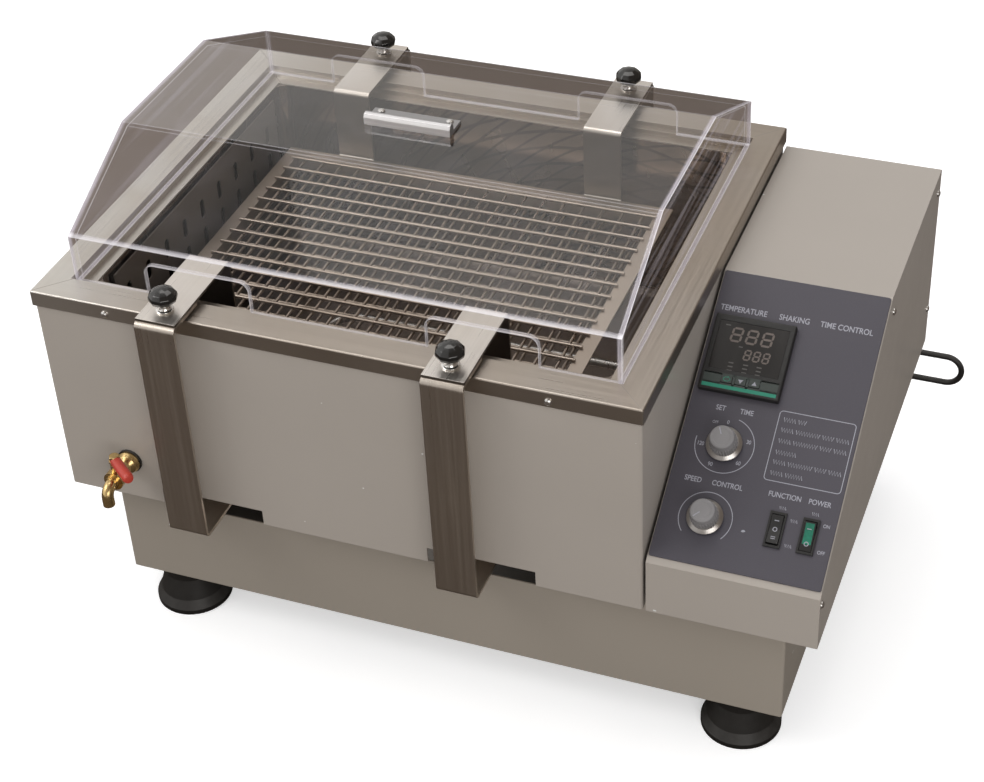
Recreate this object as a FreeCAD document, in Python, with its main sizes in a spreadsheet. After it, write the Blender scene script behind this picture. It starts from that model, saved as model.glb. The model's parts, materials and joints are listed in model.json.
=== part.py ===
import FreeCAD, Part
import math
import os
import re

import Sketcher
from FreeCAD import Placement, Rotation, Vector

# Shaking water bath, in millimetres.  The origin is on the bench, under the middle of the
# front left foot; +X runs right along the front, +Y towards the back, +Z up.

doc = FreeCAD.newDocument("ShakingWaterBath")
sheet = doc.addObject("Spreadsheet::Sheet", "dims")

SIZES = {
    # tank rim and painted casing
    "rim_left": -79, "rim_front": -57, "rim_top": 385,
    "rim_width": 565, "rim_depth": 462, "rim_skirt": 15,
    "rim_border_x": 26, "rim_border_y": 28.5, "upper_step": 6, "lower_step": 10, "step_drop": 5,
    "steel_sheet": 1.2, "painted_sheet": 1.5, "casing_inset": 2,
    "casing_bottom": 165, "casing_skirt": 16, "tank_floor": 195,
    # openings for the arms
    "arm_offset": 132, "casing_notch": 102, "base_notch": 136, "base_notch_depth": 23,
    # base
    "base_left": -44, "base_front": -31, "base_width": 649, "base_depth": 410,
    "base_bottom": 48, "base_flange": 75, "base_plate": 3,
    "foot_radius": 37, "foot_neck_radius": 25, "foot_span_x": 561, "foot_span_y": 348,
    # middle of the tank, and where the carriage stands on its orbit at rest
    "centre_x": 203.5, "centre_y": 174, "shift_x": -14.3, "shift_y": 7.2,
    # arms and hangers, measured from the middle of the carriage
    "arm_width": 38, "arm_sheet": 3, "arm_reach": 261, "arm_low": 156, "arm_high": 391,
    "arm_lip_end": 217, "stud_reach": 238, "stud_radius": 3, "thread_gap": 0.05,
    "hanger_sheet": 2.5, "hanger_end": 257, "hanger_face": 155, "ledge_end": 139,
    "ledge_top": 317.5,
    # tray
    "tray_length": 410, "tray_width": 300, "tray_flange": 14, "tray_sheet": 1.5,
    "tray_leg": 17.5, "wire_radius": 1.5, "wire_pitch": 20, "tier_drop": 13.5,
    # drive
    "crank_x": 283.5, "idler_x": 113.5, "idler_spread": 105,
    "motor_x": 441, "crank_pulley_radius": 60, "motor_pulley_radius": 20,
    "motor_shaft_radius": 6,
    "pulley_low": 112, "pulley_width": 16, "belt_thickness": 2, "belt_gap": 0.1,
    "web_low": 134, "web_thickness": 12, "pin_radius": 8, "shaft_radius": 10,
    "running_gap": 0.05, "frame_low": 159, "frame_thickness": 6,
    "drive_floor": 52.5, "insulation_floor": 182.5,
    # lid
    "lid_width": 509, "lid_depth": 397, "lid_sheet": 4.5, "lid_seat": 380.05,
    "lid_lip": 47, "lid_height": 100,
    "lid_flat_front": 86, "lid_flat_back": 74, "cutout_width": 100, "cutout_height": 31.5,
    "handle_length": 82.5, "handle_front": 28, "lid_screw_offset": 33,
    # control box and its sloping panel
    "box_left": 487, "box_width": 150.5, "box_front": -55, "box_back": 403, "box_top": 366,
    "slope_top_y": 182, "slope_low_y": -51, "slope_low_z": 225, "box_lip": 4,
    "panel_sheet": 1.5, "panel_length": 270,
    "controller_side": 72, "controller_proud": 6, "controller_left": 5, "controller_down": 45,
    "knob_x": 40.3, "timer_down": 162.5, "speed_down": 229.5,
    "knob_skirt_radius": 15.8, "knob_cap_radius": 11.2, "spindle_radius": 3,
    "function_x": 100.4, "power_x": 128.6, "switch_down": 227.5,
    "switch_width": 14.3, "switch_length": 31.5, "rocker_tilt": 8, "rocker_pin_radius": 1.2,
    # drain tap
    "tap_x": -8.4, "tap_z": 208.6, "drain_radius": 7, "spout_radius": 5.5, "elbow_radius": 9,
    # mains cord
    "cord_x": 576, "cord_z": 140, "cord_radius": 3,
}
for row, (alias, value) in enumerate(SIZES.items(), start=1):
    sheet.set("A%d" % row, str(value))
    sheet.setAlias("A%d" % row, alias)
doc.recompute()

AXES = {"X": Rotation(Vector(0, 1, 0), 90), "Y": Rotation(Vector(1, 0, 0), -90), "Z": Rotation()}
FACING = {"front": Rotation(Vector(1, 0, 0), 90), "rear": Rotation(Vector(1, 0, 0), -90),
          "right": Rotation(Vector(0, 1, 0), 90), "left": Rotation(Vector(0, 1, 0), -90),
          "up": Rotation()}
UP = Vector(0, 0, 1)
RIGHT = Vector(1, 0, 0)
BACK = Vector(0, 1, 0)
pieces = []


def size(alias):
    return float(sheet.get(alias))


def bound(text):
    """Turn an expression of cell names into one that the document understands."""
    return re.sub(r"[a-z][a-z_]+", lambda word: "dims." + word.group(), str(text))


def evaluate(text):
    """The number that an expression of cell names stands for."""
    return float(sheet.evalExpression(bound(text)))


def put(obj, place):
    for axis, text in zip("xyz", place):
        obj.setExpression("Placement.Base." + axis, bound(text))
    return obj


def box(name, at, extent):
    obj = doc.addObject("Part::Box", name)
    for prop, text in zip(("Length", "Width", "Height"), extent):
        obj.setExpression(prop, bound(text))
    return put(obj, at)


def cylinder(name, at, radius, height, axis="Z"):
    obj = doc.addObject("Part::Cylinder", name)
    obj.setExpression("Radius", bound(radius))
    obj.setExpression("Height", bound(height))
    obj.Placement.Rotation = AXES[axis]
    return put(obj, at)


def fuse(name, shapes):
    obj = doc.addObject("Part::MultiFuse", name)
    obj.Shapes = shapes
    return obj


def cut(name, base, tools):
    obj = doc.addObject("Part::Cut", name)
    obj.Base = base
    obj.Tool = tools[0] if len(tools) == 1 else fuse(name + "_tools", tools)
    return obj


def copies(name, master, places, rotations=None):
    """Linked copies of one shape; a copy's place is three expressions, in place of its own."""
    made = []
    for index, place in enumerate(places):
        link = doc.addObject("App::Link", "%s_%d" % (name, index + 1))
        link.LinkedObject = master
        if rotations:
            link.Placement.Rotation = rotations[index]
        made.append(put(link, place))
    return made




def compound(name, shapes):
    obj = doc.addObject("Part::Compound", name)
    obj.Links = shapes
    return obj


def origin_plane(body, role):
    return next(item for item in body.Origin.OriginFeatures if item.Role == role)


def outline(body, role, points):
    """A closed outline on an origin plane; every corner is held by two bound dimensions."""
    sketch = body.newObject("Sketcher::SketchObject", body.Name + "_outline")
    sketch.AttachmentSupport = [(origin_plane(body, role), "")]
    sketch.MapMode = "FlatFace"
    flat = [Vector(evaluate(u), evaluate(v), 0) for u, v in points]
    count = len(flat)
    for index in range(count):
        sketch.addGeometry(Part.LineSegment(flat[index], flat[(index + 1) % count]))
    for index in range(count):
        sketch.addConstraint(Sketcher.Constraint("Coincident", index, 2, (index + 1) % count, 1))
    for index, corner in enumerate(points):
        for kind, text, value in zip(("DistanceX", "DistanceY"), corner, flat[index]):
            number = sketch.addConstraint(Sketcher.Constraint(kind, -1, 1, index, 1, value))
            sketch.setExpression("Constraints[%d]" % number, bound(text))
    return sketch


def prism(name, role, points, length):
    body = doc.addObject("PartDesign::Body", name)
    sketch = outline(body, role, points)
    pad = body.newObject("PartDesign::Pad", name + "_pad")
    pad.Profile = sketch
    pad.setExpression("Length", bound(length))
    body.Tip = pad
    return body


def lathe(name, points):
    """A turned piece: the outline is radius against height, turned about its own Z axis."""
    body = doc.addObject("PartDesign::Body", name)
    sketch = outline(body, "XZ_Plane", points)
    turned = body.newObject("PartDesign::Revolution", name + "_turned")
    turned.Profile = sketch
    turned.ReferenceAxis = (sketch, ["V_Axis"])
    turned.Angle = 360
    body.Tip = turned
    return body


def edge_names(shape, direction, wanted):
    """Names of the straight edges along a direction that pass close to a wanted point."""
    found = []
    for index, edge in enumerate(shape.Edges, start=1):
        if not isinstance(edge.Curve, Part.Line):
            continue
        if abs(edge.Curve.Direction.dot(direction)) < 0.999:
            continue
        for point in wanted:
            step = point - edge.Vertexes[0].Point
            if (step - direction * step.dot(direction)).Length < 0.05:
                found.append("Edge%d" % index)
                break
    return found


def round_body(body, direction, corners, radius):
    """Round corners of a body's YZ outline, given as (y, z), all along one direction."""
    doc.recompute()
    base = body.Tip
    wanted = [Vector(0, evaluate(v), evaluate(z)) for v, z in corners]
    fillet = body.newObject("PartDesign::Fillet", body.Name + "_round%d" % len(body.Group))
    fillet.Base = (base, edge_names(base.Shape, direction, wanted))
    fillet.Radius = radius
    body.Tip = fillet


def round_edges(name, obj, radius, keep):
    """Part::Fillet over every edge for which keep(edge) is true."""
    doc.recompute()
    rounded = doc.addObject("Part::Fillet", name)
    rounded.Base = obj
    chosen = [i for i, edge in enumerate(obj.Shape.Edges, start=1) if keep(edge)]
    rounded.Edges = [(index, radius, radius) for index in chosen]
    return rounded


def along(axis):
    """Picker for straight edges parallel to an axis."""
    def keep(edge):
        return isinstance(edge.Curve, Part.Line) and abs(edge.Curve.Direction.dot(axis)) > 0.999
    return keep


def face_towards(obj, direction):
    """Name of the flat face that lies farthest along a direction."""
    doc.recompute()
    faces = obj.Shape.Faces
    best = max(range(len(faces)), key=lambda i: faces[i].CenterOfMass.dot(direction))
    return "Face%d" % (best + 1)


def hollow(name, obj, direction, thickness):
    """Hollow a closed prism to a sheet thickness, open on the side that faces a direction."""
    opened = face_towards(obj, direction)
    shell = doc.addObject("Part::Thickness", name)
    shell.Faces = (obj, [opened])
    shell.setExpression("Value", "-" + bound(thickness))
    shell.Join = 2
    return shell


def piece(label, obj):
    obj.Label = label
    pieces.append(obj)
    return obj


# ---------------------------------------------------------------- screws



def screw(name, shank):
    """Pan-head screw standing on its seat, with the shank below."""
    return lathe(name, [(0, -shank), (1.5, -shank), (1.5, 0), (3.4, 0), (3.2, 1.2), (1.8, 2.2),
                        (0, 2.4)])


SHEET_SCREW = screw("sheet_screw", 4)
LID_SCREW = screw("lid_screw", 10)
SCREW_HOLE = lathe("screw_hole", [(0, -12), (1.55, -12), (1.55, 2), (0, 2)])

SKIRT_SCREW_Z = "rim_top - 9.5"
RIM_SCREWS = [
    ("rim_left + 74", "rim_front", SKIRT_SCREW_Z, "front"),
    ("rim_left + rim_width - 81", "rim_front", SKIRT_SCREW_Z, "front"),
    ("rim_left + 74", "rim_front + rim_depth", SKIRT_SCREW_Z, "rear"),
    ("rim_left + rim_width - 81", "rim_front + rim_depth", SKIRT_SCREW_Z, "rear"),
    ("rim_left", "rim_front + 100", SKIRT_SCREW_Z, "left"),
    ("rim_left", "rim_front + rim_depth - 100", SKIRT_SCREW_Z, "left")]
BOX_SCREWS = [
    ("box_left + box_width", "box_front + 5", "casing_bottom + 47", "right"),
    ("box_left + box_width", "box_back - 12", "casing_bottom + 47", "right"),
    ("box_left + box_width", "box_back - 12", "box_top - 20", "right"),
    ("box_left + box_width", "slope_top_y + 8", "box_top - 20", "right")]
BASE_SCREWS = [
    ("base_left + base_width", "base_front + 40", "casing_bottom - 40", "right"),
    ("base_left + base_width", "base_front + base_depth - 40", "casing_bottom - 40", "right"),
    ("base_left", "base_front + 40", "casing_bottom - 40", "left"),
    ("base_left", "base_front + base_depth - 40", "casing_bottom - 40", "left")]
LID_SCREWS = [
    ("centre_x - lid_screw_offset", "centre_y - 7", "lid_seat + lid_height + 3", "up"),
    ("centre_x + lid_screw_offset", "centre_y - 7", "lid_seat + lid_height + 3", "up")]


def seated(name, master, seats):
    """Copies of a screw, or of its hole, on (x, y, z, way it faces) seats."""
    places = [seat[:3] for seat in seats]
    return copies(name, master, places, [FACING[seat[3]] for seat in seats])


def make_screws():
    """Screws in the rim skirt, the control box and the base walls, and in the lid's handle."""
    sheet_seats = RIM_SCREWS + BOX_SCREWS + BASE_SCREWS
    piece("case_screws", compound("case_screw_group",
                                  seated("case_screw", SHEET_SCREW, sheet_seats)))
    piece("lid_screws", compound("lid_screw_group",
                                 seated("handle_screw", LID_SCREW, LID_SCREWS)))


# ---------------------------------------------------------------- base and feet

FOOT_PLACES = [(x, y, 0) for x in (0, "foot_span_x") for y in (0, "foot_span_y")]
COLUMN_PLACES = [(x, y) for x in ("base_left + 20", "motor_x")
                 for y in ("base_front + 24", "base_front + base_depth - 24")]


def stud_holes(name):
    drill = cylinder(name + "_master", (0, 0, 0), 4, 20)
    places = [(x, y, "base_bottom - 5") for x, y, _ in FOOT_PLACES]
    return copies(name, drill, places)


def arm_openings(name, width, walls, low, height):
    """Four boxes through the front and back walls, where the arms leave."""
    made = []
    for x_name, side in (("left", "-"), ("right", "+")):
        left = "centre_x %s arm_offset - %s / 2" % (side, width)
        for y_name, wall_y in zip(("front", "rear"), walls):
            made.append(box("%s_%s_%s" % (name, y_name, x_name), (left, wall_y + " - 5", low),
                            (width, 10, height)))
    return made


def make_base():
    height = "casing_bottom - base_bottom"
    outer = box("base_outer", ("base_left", "base_front", "base_bottom"),
                ("base_width", "base_depth", height))
    outer = round_edges("base_rounded", outer, 2.5, along(UP))
    inner = box("base_inner",
                ("base_left + painted_sheet", "base_front + painted_sheet",
                 "base_bottom + painted_sheet"),
                ("base_width - 2 * painted_sheet", "base_depth - 2 * painted_sheet", height))
    window = box("base_window",
                 ("base_left + base_flange", "base_front + base_flange", "base_bottom - 1"),
                 ("base_width - 2 * base_flange", "base_depth - 2 * base_flange", 10))
    walls = ("base_front", "base_front + base_depth")
    openings = arm_openings("base_opening", "base_notch", walls,
                            "casing_bottom - base_notch_depth", 30)
    cord_hole = cylinder("base_cord_hole", ("cord_x", "base_front + base_depth - 5", "cord_z"),
                         6.1, 10, "Y")
    tools = [inner, window, cord_hole] + stud_holes("base_stud_hole") + openings
    tools += seated("base_screw_hole", SCREW_HOLE, BASE_SCREWS)
    piece("base_housing", cut("base_cut", outer, tools))
    make_bottom_plate()


def make_bottom_plate():
    """Floor of the base, with four welded columns that carry the tank casing."""
    plate = box("plate", ("base_left + 2", "base_front + 2", "base_bottom + painted_sheet"),
                ("base_width - 4", "base_depth - 4", "base_plate"))
    drilled = cut("plate_drilled", plate, stud_holes("plate_stud_hole"))
    column = cylinder("column_master", (0, 0, 0), 8, "casing_bottom + casing_skirt - drive_floor")
    columns = copies("column", column, [(x, y, "drive_floor") for x, y in COLUMN_PLACES])
    piece("bottom_plate", fuse("plate_body", [drilled] + columns))


def make_feet():
    """Flared rubber foot, flat underneath, with a moulded-in stud."""
    neck = "foot_neck_radius"
    foot = lathe("foot_master", [
        (0, 0), ("foot_radius", 0), ("foot_radius", 5),
        ("foot_radius - 5", 14), (neck + " + 1", 34), (neck, "base_bottom"),
        (3.9, "base_bottom"), (3.9, "base_bottom + 12"), (0, "base_bottom + 12")])
    piece("feet", compound("feet_group", copies("foot", foot, FOOT_PLACES)))


# ---------------------------------------------------------------- tank

HEATER_ENDS = ("centre_y - 30", "centre_y + 30")
PROBE_Y = "centre_y - 60"
CASING_RIGHT = "rim_left + rim_width - casing_inset"
MOUTH_INSET_X = "(rim_border_x + upper_step + lower_step)"
MOUTH_INSET_Y = "(rim_border_y + upper_step + lower_step)"


def tank_box(name, inset_x, inset_y, low, height):
    """A box concentric with the rim in plan, set in from its edges."""
    return box(name, ("rim_left + " + inset_x, "rim_front + " + inset_y, low),
               ("rim_width - 2 * " + inset_x, "rim_depth - 2 * " + inset_y, height))


def fitting_holes(name, heater_radius, probe_radius):
    """Holes through the right-hand wall for the heater's two ends and the probe."""
    wall = CASING_RIGHT + " - 60"
    made = [cylinder("%s_heater_%d" % (name, index), (wall, end_y, "tank_floor + 22"),
                     heater_radius, 70, "X") for index, end_y in enumerate(HEATER_ENDS)]
    made.append(cylinder(name + "_probe", (wall, PROBE_Y, "tank_floor + 60"),
                         probe_radius, 70, "X"))
    return made


def make_casing():
    """Painted outer box of the tank, with a floor sheet above an open skirt."""
    inner = "(casing_inset + painted_sheet)"
    height = "rim_top - steel_sheet - casing_bottom"
    outer = tank_box("casing_outer", "casing_inset", "casing_inset", "casing_bottom", height)
    outer = round_edges("casing_rounded", outer, 3, along(UP))
    upper = tank_box("casing_upper", inner, inner, "insulation_floor", height)
    lower = tank_box("casing_lower", inner, inner, "casing_bottom - 1", "casing_skirt + 1")
    walls = ("rim_front", "rim_front + rim_depth")
    openings = arm_openings("casing_opening", "casing_notch", walls, "casing_bottom - 1",
                            "casing_skirt + 1")
    drain = cylinder("casing_drain", ("tap_x", "rim_front - 5", "tap_z"), "drain_radius", 20,
                     "Y")
    tools = [upper, lower, drain] + fitting_holes("casing_hole", 4.2, 3.2) + openings
    tools += seated("casing_screw_hole", SCREW_HOLE, RIM_SCREWS)
    piece("tank_casing", cut("casing_cut", outer, tools))


def make_rim():
    """Folded stainless frame: flat top, outer skirt and two steps down to the tank mouth."""
    top = tank_box("rim_top_box", "0", "0", "rim_top - rim_skirt", "rim_skirt")
    top = round_edges("rim_rounded", top, 1.5, lambda edge: (
        edge.CenterOfMass.z > size("rim_top") - 1 or along(UP)(edge)))
    under = tank_box("rim_under", "steel_sheet", "steel_sheet", "rim_top - rim_skirt - 1",
                     "rim_skirt + 1 - steel_sheet")
    cap = cut("rim_cap", top, [under])
    steps = []
    mouths = []
    for level, sunk in enumerate(("", " + upper_step")):
        low = "rim_top - %d * step_drop" % (level + 1)
        steps.append(tank_box("rim_step_%d" % level,
                              "(rim_border_x%s - steel_sheet)" % sunk,
                              "(rim_border_y%s - steel_sheet)" % sunk,
                              low + " - steel_sheet", "step_drop"))
        mouths.append(tank_box("rim_mouth_%d" % level, "(rim_border_x%s)" % sunk,
                               "(rim_border_y%s)" % sunk, low, 40))
    mouths.append(tank_box("rim_mouth_2", MOUTH_INSET_X, MOUTH_INSET_Y, "rim_top - 30", 60))
    tools = mouths + seated("rim_screw_hole", SCREW_HOLE, RIM_SCREWS)
    piece("rim_frame", cut("rim_cut", fuse("rim_body", [cap] + steps), tools))


def make_inner_tank():
    """Deep-drawn stainless tank with a flange that hangs under the rim."""
    flange_top = "rim_top - 2 * step_drop - steel_sheet"

    def low_or_upright(edge):
        return edge.CenterOfMass.z < size("tank_floor") + 5 or along(UP)(edge)

    wall = tank_box("tank_wall", "(%s - steel_sheet)" % MOUTH_INSET_X,
                    "(%s - steel_sheet)" % MOUTH_INSET_Y, "tank_floor - steel_sheet",
                    flange_top + " - tank_floor + steel_sheet")
    wall = round_edges("tank_wall_rounded", wall, 13.2, low_or_upright)
    space = tank_box("tank_space", MOUTH_INSET_X, MOUTH_INSET_Y, "tank_floor", 250)
    space = round_edges("tank_space_rounded", space, 12, low_or_upright)
    flange = tank_box("tank_flange", "(%s - 9)" % MOUTH_INSET_X, "(%s - 9)" % MOUTH_INSET_Y,
                      flange_top + " - steel_sheet", "steel_sheet")
    drain = cylinder("tank_drain", ("tap_x", "rim_front + 30", "tap_z"), "drain_radius", 30,
                     "Y")
    tools = [space, drain] + fitting_holes("tank_hole", 4, 3)
    piece("inner_tank", cut("tank_cut", fuse("tank_body", [wall, flange]), tools))


def make_insulation():
    gap = "(casing_inset + painted_sheet + 1)"
    block = tank_box("insulation_block", gap, gap, "insulation_floor",
                     "rim_top - 22 - insulation_floor")
    space = tank_box("insulation_space", "(%s - steel_sheet - 0.5)" % MOUTH_INSET_X,
                     "(%s - steel_sheet - 0.5)" % MOUTH_INSET_Y, "tank_floor - 2", 250)
    drain = cylinder("insulation_drain", ("tap_x", "rim_front - 5", "tap_z"), 7.5, 60, "Y")
    tools = [space, drain] + fitting_holes("insulation_hole", 5, 4)
    piece("tank_insulation", cut("insulation_cut", block, tools))


def make_baffle():
    """Slotted plate that stands off the tank's left wall."""
    plate_x = "rim_left + %s + 2" % MOUTH_INSET_X
    plate = box("baffle_plate", (plate_x, "centre_y - 165", "tank_floor + 14"),
                ("steel_sheet", 330, 158))
    foot = box("baffle_foot", (plate_x, "centre_y - 165", "tank_floor + 14"),
               (12, 330, "steel_sheet"))
    slot = fuse("slot_master", [
        box("slot_middle", (0, -4, -6), (12, 8, 12)),
        cylinder("slot_high", (0, 0, 6), 4, 12, "X"),
        cylinder("slot_low", (0, 0, -6), 4, 12, "X")])
    places = [(plate_x + " - 5", "centre_y + %d" % (36 * column), "rim_top - %d" % (48 + 31 * rank))
              for rank in range(4) for column in range(-4, 5)]
    piece("slotted_baffle", cut("baffle_cut", fuse("baffle_body", [plate, foot]),
                                copies("slot", slot, places)))


def make_heater():
    """Tubular heater: two legs along the tank floor joined by a half-round bend."""
    reach = 380
    low = "tank_floor + 22"
    bend_x = CASING_RIGHT + " + 10 - %d" % reach
    solids = []
    for index, end_y in enumerate(HEATER_ENDS):
        solids.append(cylinder("heater_leg_%d" % index, (bend_x, end_y, low), 4, reach, "X"))
        solids.append(cylinder("heater_nut_%d" % index, (CASING_RIGHT, end_y, low), 9, 5, "X"))
    bend = doc.addObject("Part::Torus", "heater_bend")
    bend.Radius1 = 30
    bend.Radius2 = 4
    bend.Angle3 = 180
    bend.Placement.Rotation = Rotation(UP, 90)
    put(bend, (bend_x, "centre_y", low))
    piece("heater_element", fuse("heater_body", solids + [bend]))

    rod = cylinder("probe_rod", (CASING_RIGHT + " - 130", PROBE_Y, "tank_floor + 60"), 3, 138,
                   "X")
    nut = cylinder("probe_nut", (CASING_RIGHT, PROBE_Y, "tank_floor + 60"), 7, 6, "X")
    piece("temperature_probe", fuse("probe_body", [rod, nut]))


# ---------------------------------------------------------------- drain tap


def make_tap():
    front = "rim_front + casing_inset"
    length = "rim_border_y + upper_step + lower_step - casing_inset"
    tube = cylinder("drain_outer", ("tap_x", front, "tap_z"), "drain_radius", length, "Y")
    bore = cylinder("drain_bore", ("tap_x", "rim_front - 5", "tap_z"), "drain_radius - 1.5", 80,
                    "Y")
    piece("drain_pipe", cut("drain_cut", tube, [bore]))

    seat = front + " - 2.5"
    disc = cylinder("gasket_disc", ("tap_x", seat, "tap_z"), 12, 2.5, "Y")
    hole = cylinder("gasket_hole", ("tap_x", "rim_front - 5", "tap_z"), 5.5, 10, "Y")
    piece("tap_gasket", cut("gasket_cut", disc, [hole]))
    make_tap_body(seat)
    make_tap_lever(seat + " - 21.5")


def make_tap_body(seat):
    """Ball valve: domed collar on the gasket, barrel, stem on top and a spout turned down."""
    collar = lathe("tap_collar", [(0, 0), (11, 0), (11, 2), (9.5, 5.5), (6.5, 8.5), (0, 8.5)])
    collar.Placement.Rotation = FACING["front"]
    put(collar, ("tap_x", seat, "tap_z"))
    stem_y = seat + " - 21.5"
    bend_y = seat + " - 33.5"
    spout_y = bend_y + " - elbow_radius"
    solids = [
        collar,
        cylinder("tap_barrel", ("tap_x", bend_y, "tap_z"), 6.5, 32, "Y"),
        cylinder("tap_valve", ("tap_x", seat + " - 30", "tap_z"), 9.5, 15, "Y"),
        cylinder("tap_boss", ("tap_x", stem_y, "tap_z"), 5, 15),
        cylinder("tap_stem", ("tap_x", stem_y, "tap_z"), 2.5, 24),
        cylinder("tap_stem_nut", ("tap_x", stem_y, "tap_z + 20.2"), 4.2, 3.8),
        cylinder("tap_spout", ("tap_x", spout_y, "tap_z - elbow_radius - 8"), "spout_radius",
                 8)]
    elbow = doc.addObject("Part::Torus", "tap_elbow")
    elbow.setExpression("Radius1", bound("elbow_radius"))
    elbow.setExpression("Radius2", bound("spout_radius"))
    elbow.Angle3 = 90
    elbow.Placement.Rotation = Rotation(-BACK, UP, -RIGHT, "XYZ")
    put(elbow, ("tap_x", bend_y, "tap_z - elbow_radius"))
    mouth = cylinder("tap_mouth", ("tap_x", spout_y, "tap_z - elbow_radius - 9"), 4, 9)
    piece("tap_body", cut("tap_cut", fuse("tap_solid", solids + [elbow]), [mouth]))


def make_tap_lever(stem_y):
    """The lever stands half open: it points between right and front, above the valve."""
    pivot = ("tap_x", stem_y, "tap_z + 16.5")
    strap = box("lever_strap", (0, -3, 0), (12, 6, 3))
    grip = cylinder("lever_grip", (9, 0, 1.5), 4.8, 27, "X")
    grip = round_edges("lever_grip_round", grip, 2, lambda edge: True)
    arm = fuse("lever_arm", [strap, grip])
    arm.Placement.Rotation = Rotation(UP, -45)
    put(arm, pivot)
    hole = cylinder("lever_hole", ("tap_x", stem_y, "tap_z + 10"), "2.5 + running_gap", 12)
    eye = cylinder("lever_eye", pivot, 5.5, 3)
    piece("tap_lever", cut("lever_cut", fuse("lever_body", [eye, arm]), [hole]))


# ---------------------------------------------------------------- drive in the base

CRANK = ("crank_x", "centre_y")
MOTOR = ("motor_x", "centre_y")
IDLERS = {"idler_crank_front": ("idler_x", "centre_y - idler_spread"),
          "idler_crank_rear": ("idler_x", "centre_y + idler_spread")}


def turned(name, seat, points):
    """A turned piece standing at a seat, with its heights measured from the bench."""
    return put(lathe(name, points), (seat[0], seat[1], 0))


def make_crank():
    bore = "shaft_radius + running_gap"
    piece("crank_housing", turned("crank_housing_body", CRANK, [
        (bore, "drive_floor"), (42, "drive_floor"), (42, "drive_floor + 6"),
        (26, "drive_floor + 8"), (22, "pulley_low - 6"), (bore, "pulley_low - 6")]))
    piece("crank_shaft", turned("crank_shaft_body", CRANK, [
        (0, "drive_floor + 1"), ("shaft_radius", "drive_floor + 1"),
        ("shaft_radius", "pulley_low - 3"), ("shaft_radius + 6", "pulley_low - 3"),
        ("shaft_radius + 6", "pulley_low"), ("shaft_radius", "pulley_low"),
        ("shaft_radius", "web_low"), (0, "web_low")]))
    piece("crank_pulley", pulley("crank_pulley_body", CRANK, "crank_pulley_radius",
                                 "shaft_radius"))
    piece("crank_arm", crank_web("crank_arm_body", CRANK))


def make_motor():
    """Geared motor standing on the floor, with its shaft and pulley above."""
    bore = "motor_shaft_radius + running_gap"
    piece("motor", turned("motor_body", MOTOR, [
        (0, "drive_floor"), (52, "drive_floor"), (52, "drive_floor + 5"),
        (45, "drive_floor + 5"), (45, "pulley_low - 8"), (40, "pulley_low - 5"),
        (bore, "pulley_low - 5"), (bore, "pulley_low - 12"), (0, "pulley_low - 12")]))
    shaft = cylinder("motor_shaft", MOTOR + ("pulley_low - 11",), "motor_shaft_radius",
                     "pulley_width + 14")
    wheel = pulley("motor_pulley_body", MOTOR, "motor_pulley_radius", "motor_shaft_radius")
    piece("motor_pulley", fuse("motor_pulley_all", [wheel, shaft]))


def make_idlers():
    """Two undriven cranks that keep the carriage from turning."""
    top = "web_low - 18"
    bore = "pin_radius + running_gap"
    housing = lathe("idler_housing_master", [
        (bore, "drive_floor"), (30, "drive_floor"), (30, "drive_floor + 6"),
        (16, "drive_floor + 8"), (14, top), (bore, top)])
    seats = [seat + (0,) for seat in IDLERS.values()]
    piece("idler_housings", compound("idler_housing_group",
                                     copies("idler_housing", housing, seats)))
    for label, seat in IDLERS.items():
        shaft = cylinder(label + "_shaft", seat + ("drive_floor + 1",), "pin_radius",
                         "web_low - drive_floor - 1")
        piece(label, fuse(label + "_all", [shaft, crank_web(label + "_web", seat)]))


def pulley(name, seat, radius, bore):
    """Flat-belt pulley with two guide flanges."""
    low = "pulley_low"
    high = "pulley_low + pulley_width"
    lip = radius + " + 3"
    return turned(name, seat, [
        (bore, low), (lip, low), (lip, low + " + 1.5"), (radius, low + " + 1.5"),
        (radius, high + " - 1.5"), (lip, high + " - 1.5"), (lip, high), (bore, high)])


def crank_web(name, seat):
    """Crank web: an eye over the shaft, an eye under the pin, and the upright pin."""
    pin_seat = (seat[0] + " + shift_x", seat[1] + " + shift_y", "web_low")
    hub = cylinder(name + "_hub", seat + ("web_low",), 20, "web_thickness")
    eye = cylinder(name + "_eye", pin_seat, 14, "web_thickness")
    pin = cylinder(name + "_pin", pin_seat, "pin_radius",
                   "frame_low + frame_thickness + 5 - web_low")
    return fuse(name, [hub, eye, pin])


def belt_loop(clearance, height):
    """Solid bounded by a belt line that runs a clearance outside both pulleys."""
    big = size("crank_pulley_radius") + clearance
    small = size("motor_pulley_radius") + clearance
    span = size("motor_x") - size("crank_x")
    tangent = math.pi / 2 - math.asin((big - small) / span)
    direction = Vector(math.cos(tangent), math.sin(tangent), 0)
    upper = [direction * big, direction * small + Vector(span, 0, 0)]
    lower = [Vector(point.x, -point.y, 0) for point in upper]
    round_big = Part.Arc(upper[0], Vector(-big, 0, 0), lower[0])
    round_small = Part.Arc(lower[1], Vector(span + small, 0, 0), upper[1])
    wire = Part.Wire([round_big.toShape(), Part.makeLine(lower[0], lower[1]),
                      round_small.toShape(), Part.makeLine(upper[1], upper[0])])
    return Part.Face(wire).extrude(UP * height)


def make_belt():
    width = size("pulley_width") - 4
    gap = size("belt_gap")
    belt = doc.addObject("Part::Feature", "belt")
    belt.Shape = belt_loop(gap + size("belt_thickness"), width).cut(belt_loop(gap, width))
    belt.Placement = Placement(Vector(size("crank_x"), size("centre_y"),
                                      size("pulley_low") + 2), Rotation())
    piece("drive_belt", belt)


# ---------------------------------------------------------------- carriage

SIDES = {"left": "-", "right": "+"}
ENDS = {"front": "-", "rear": "+"}


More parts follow.
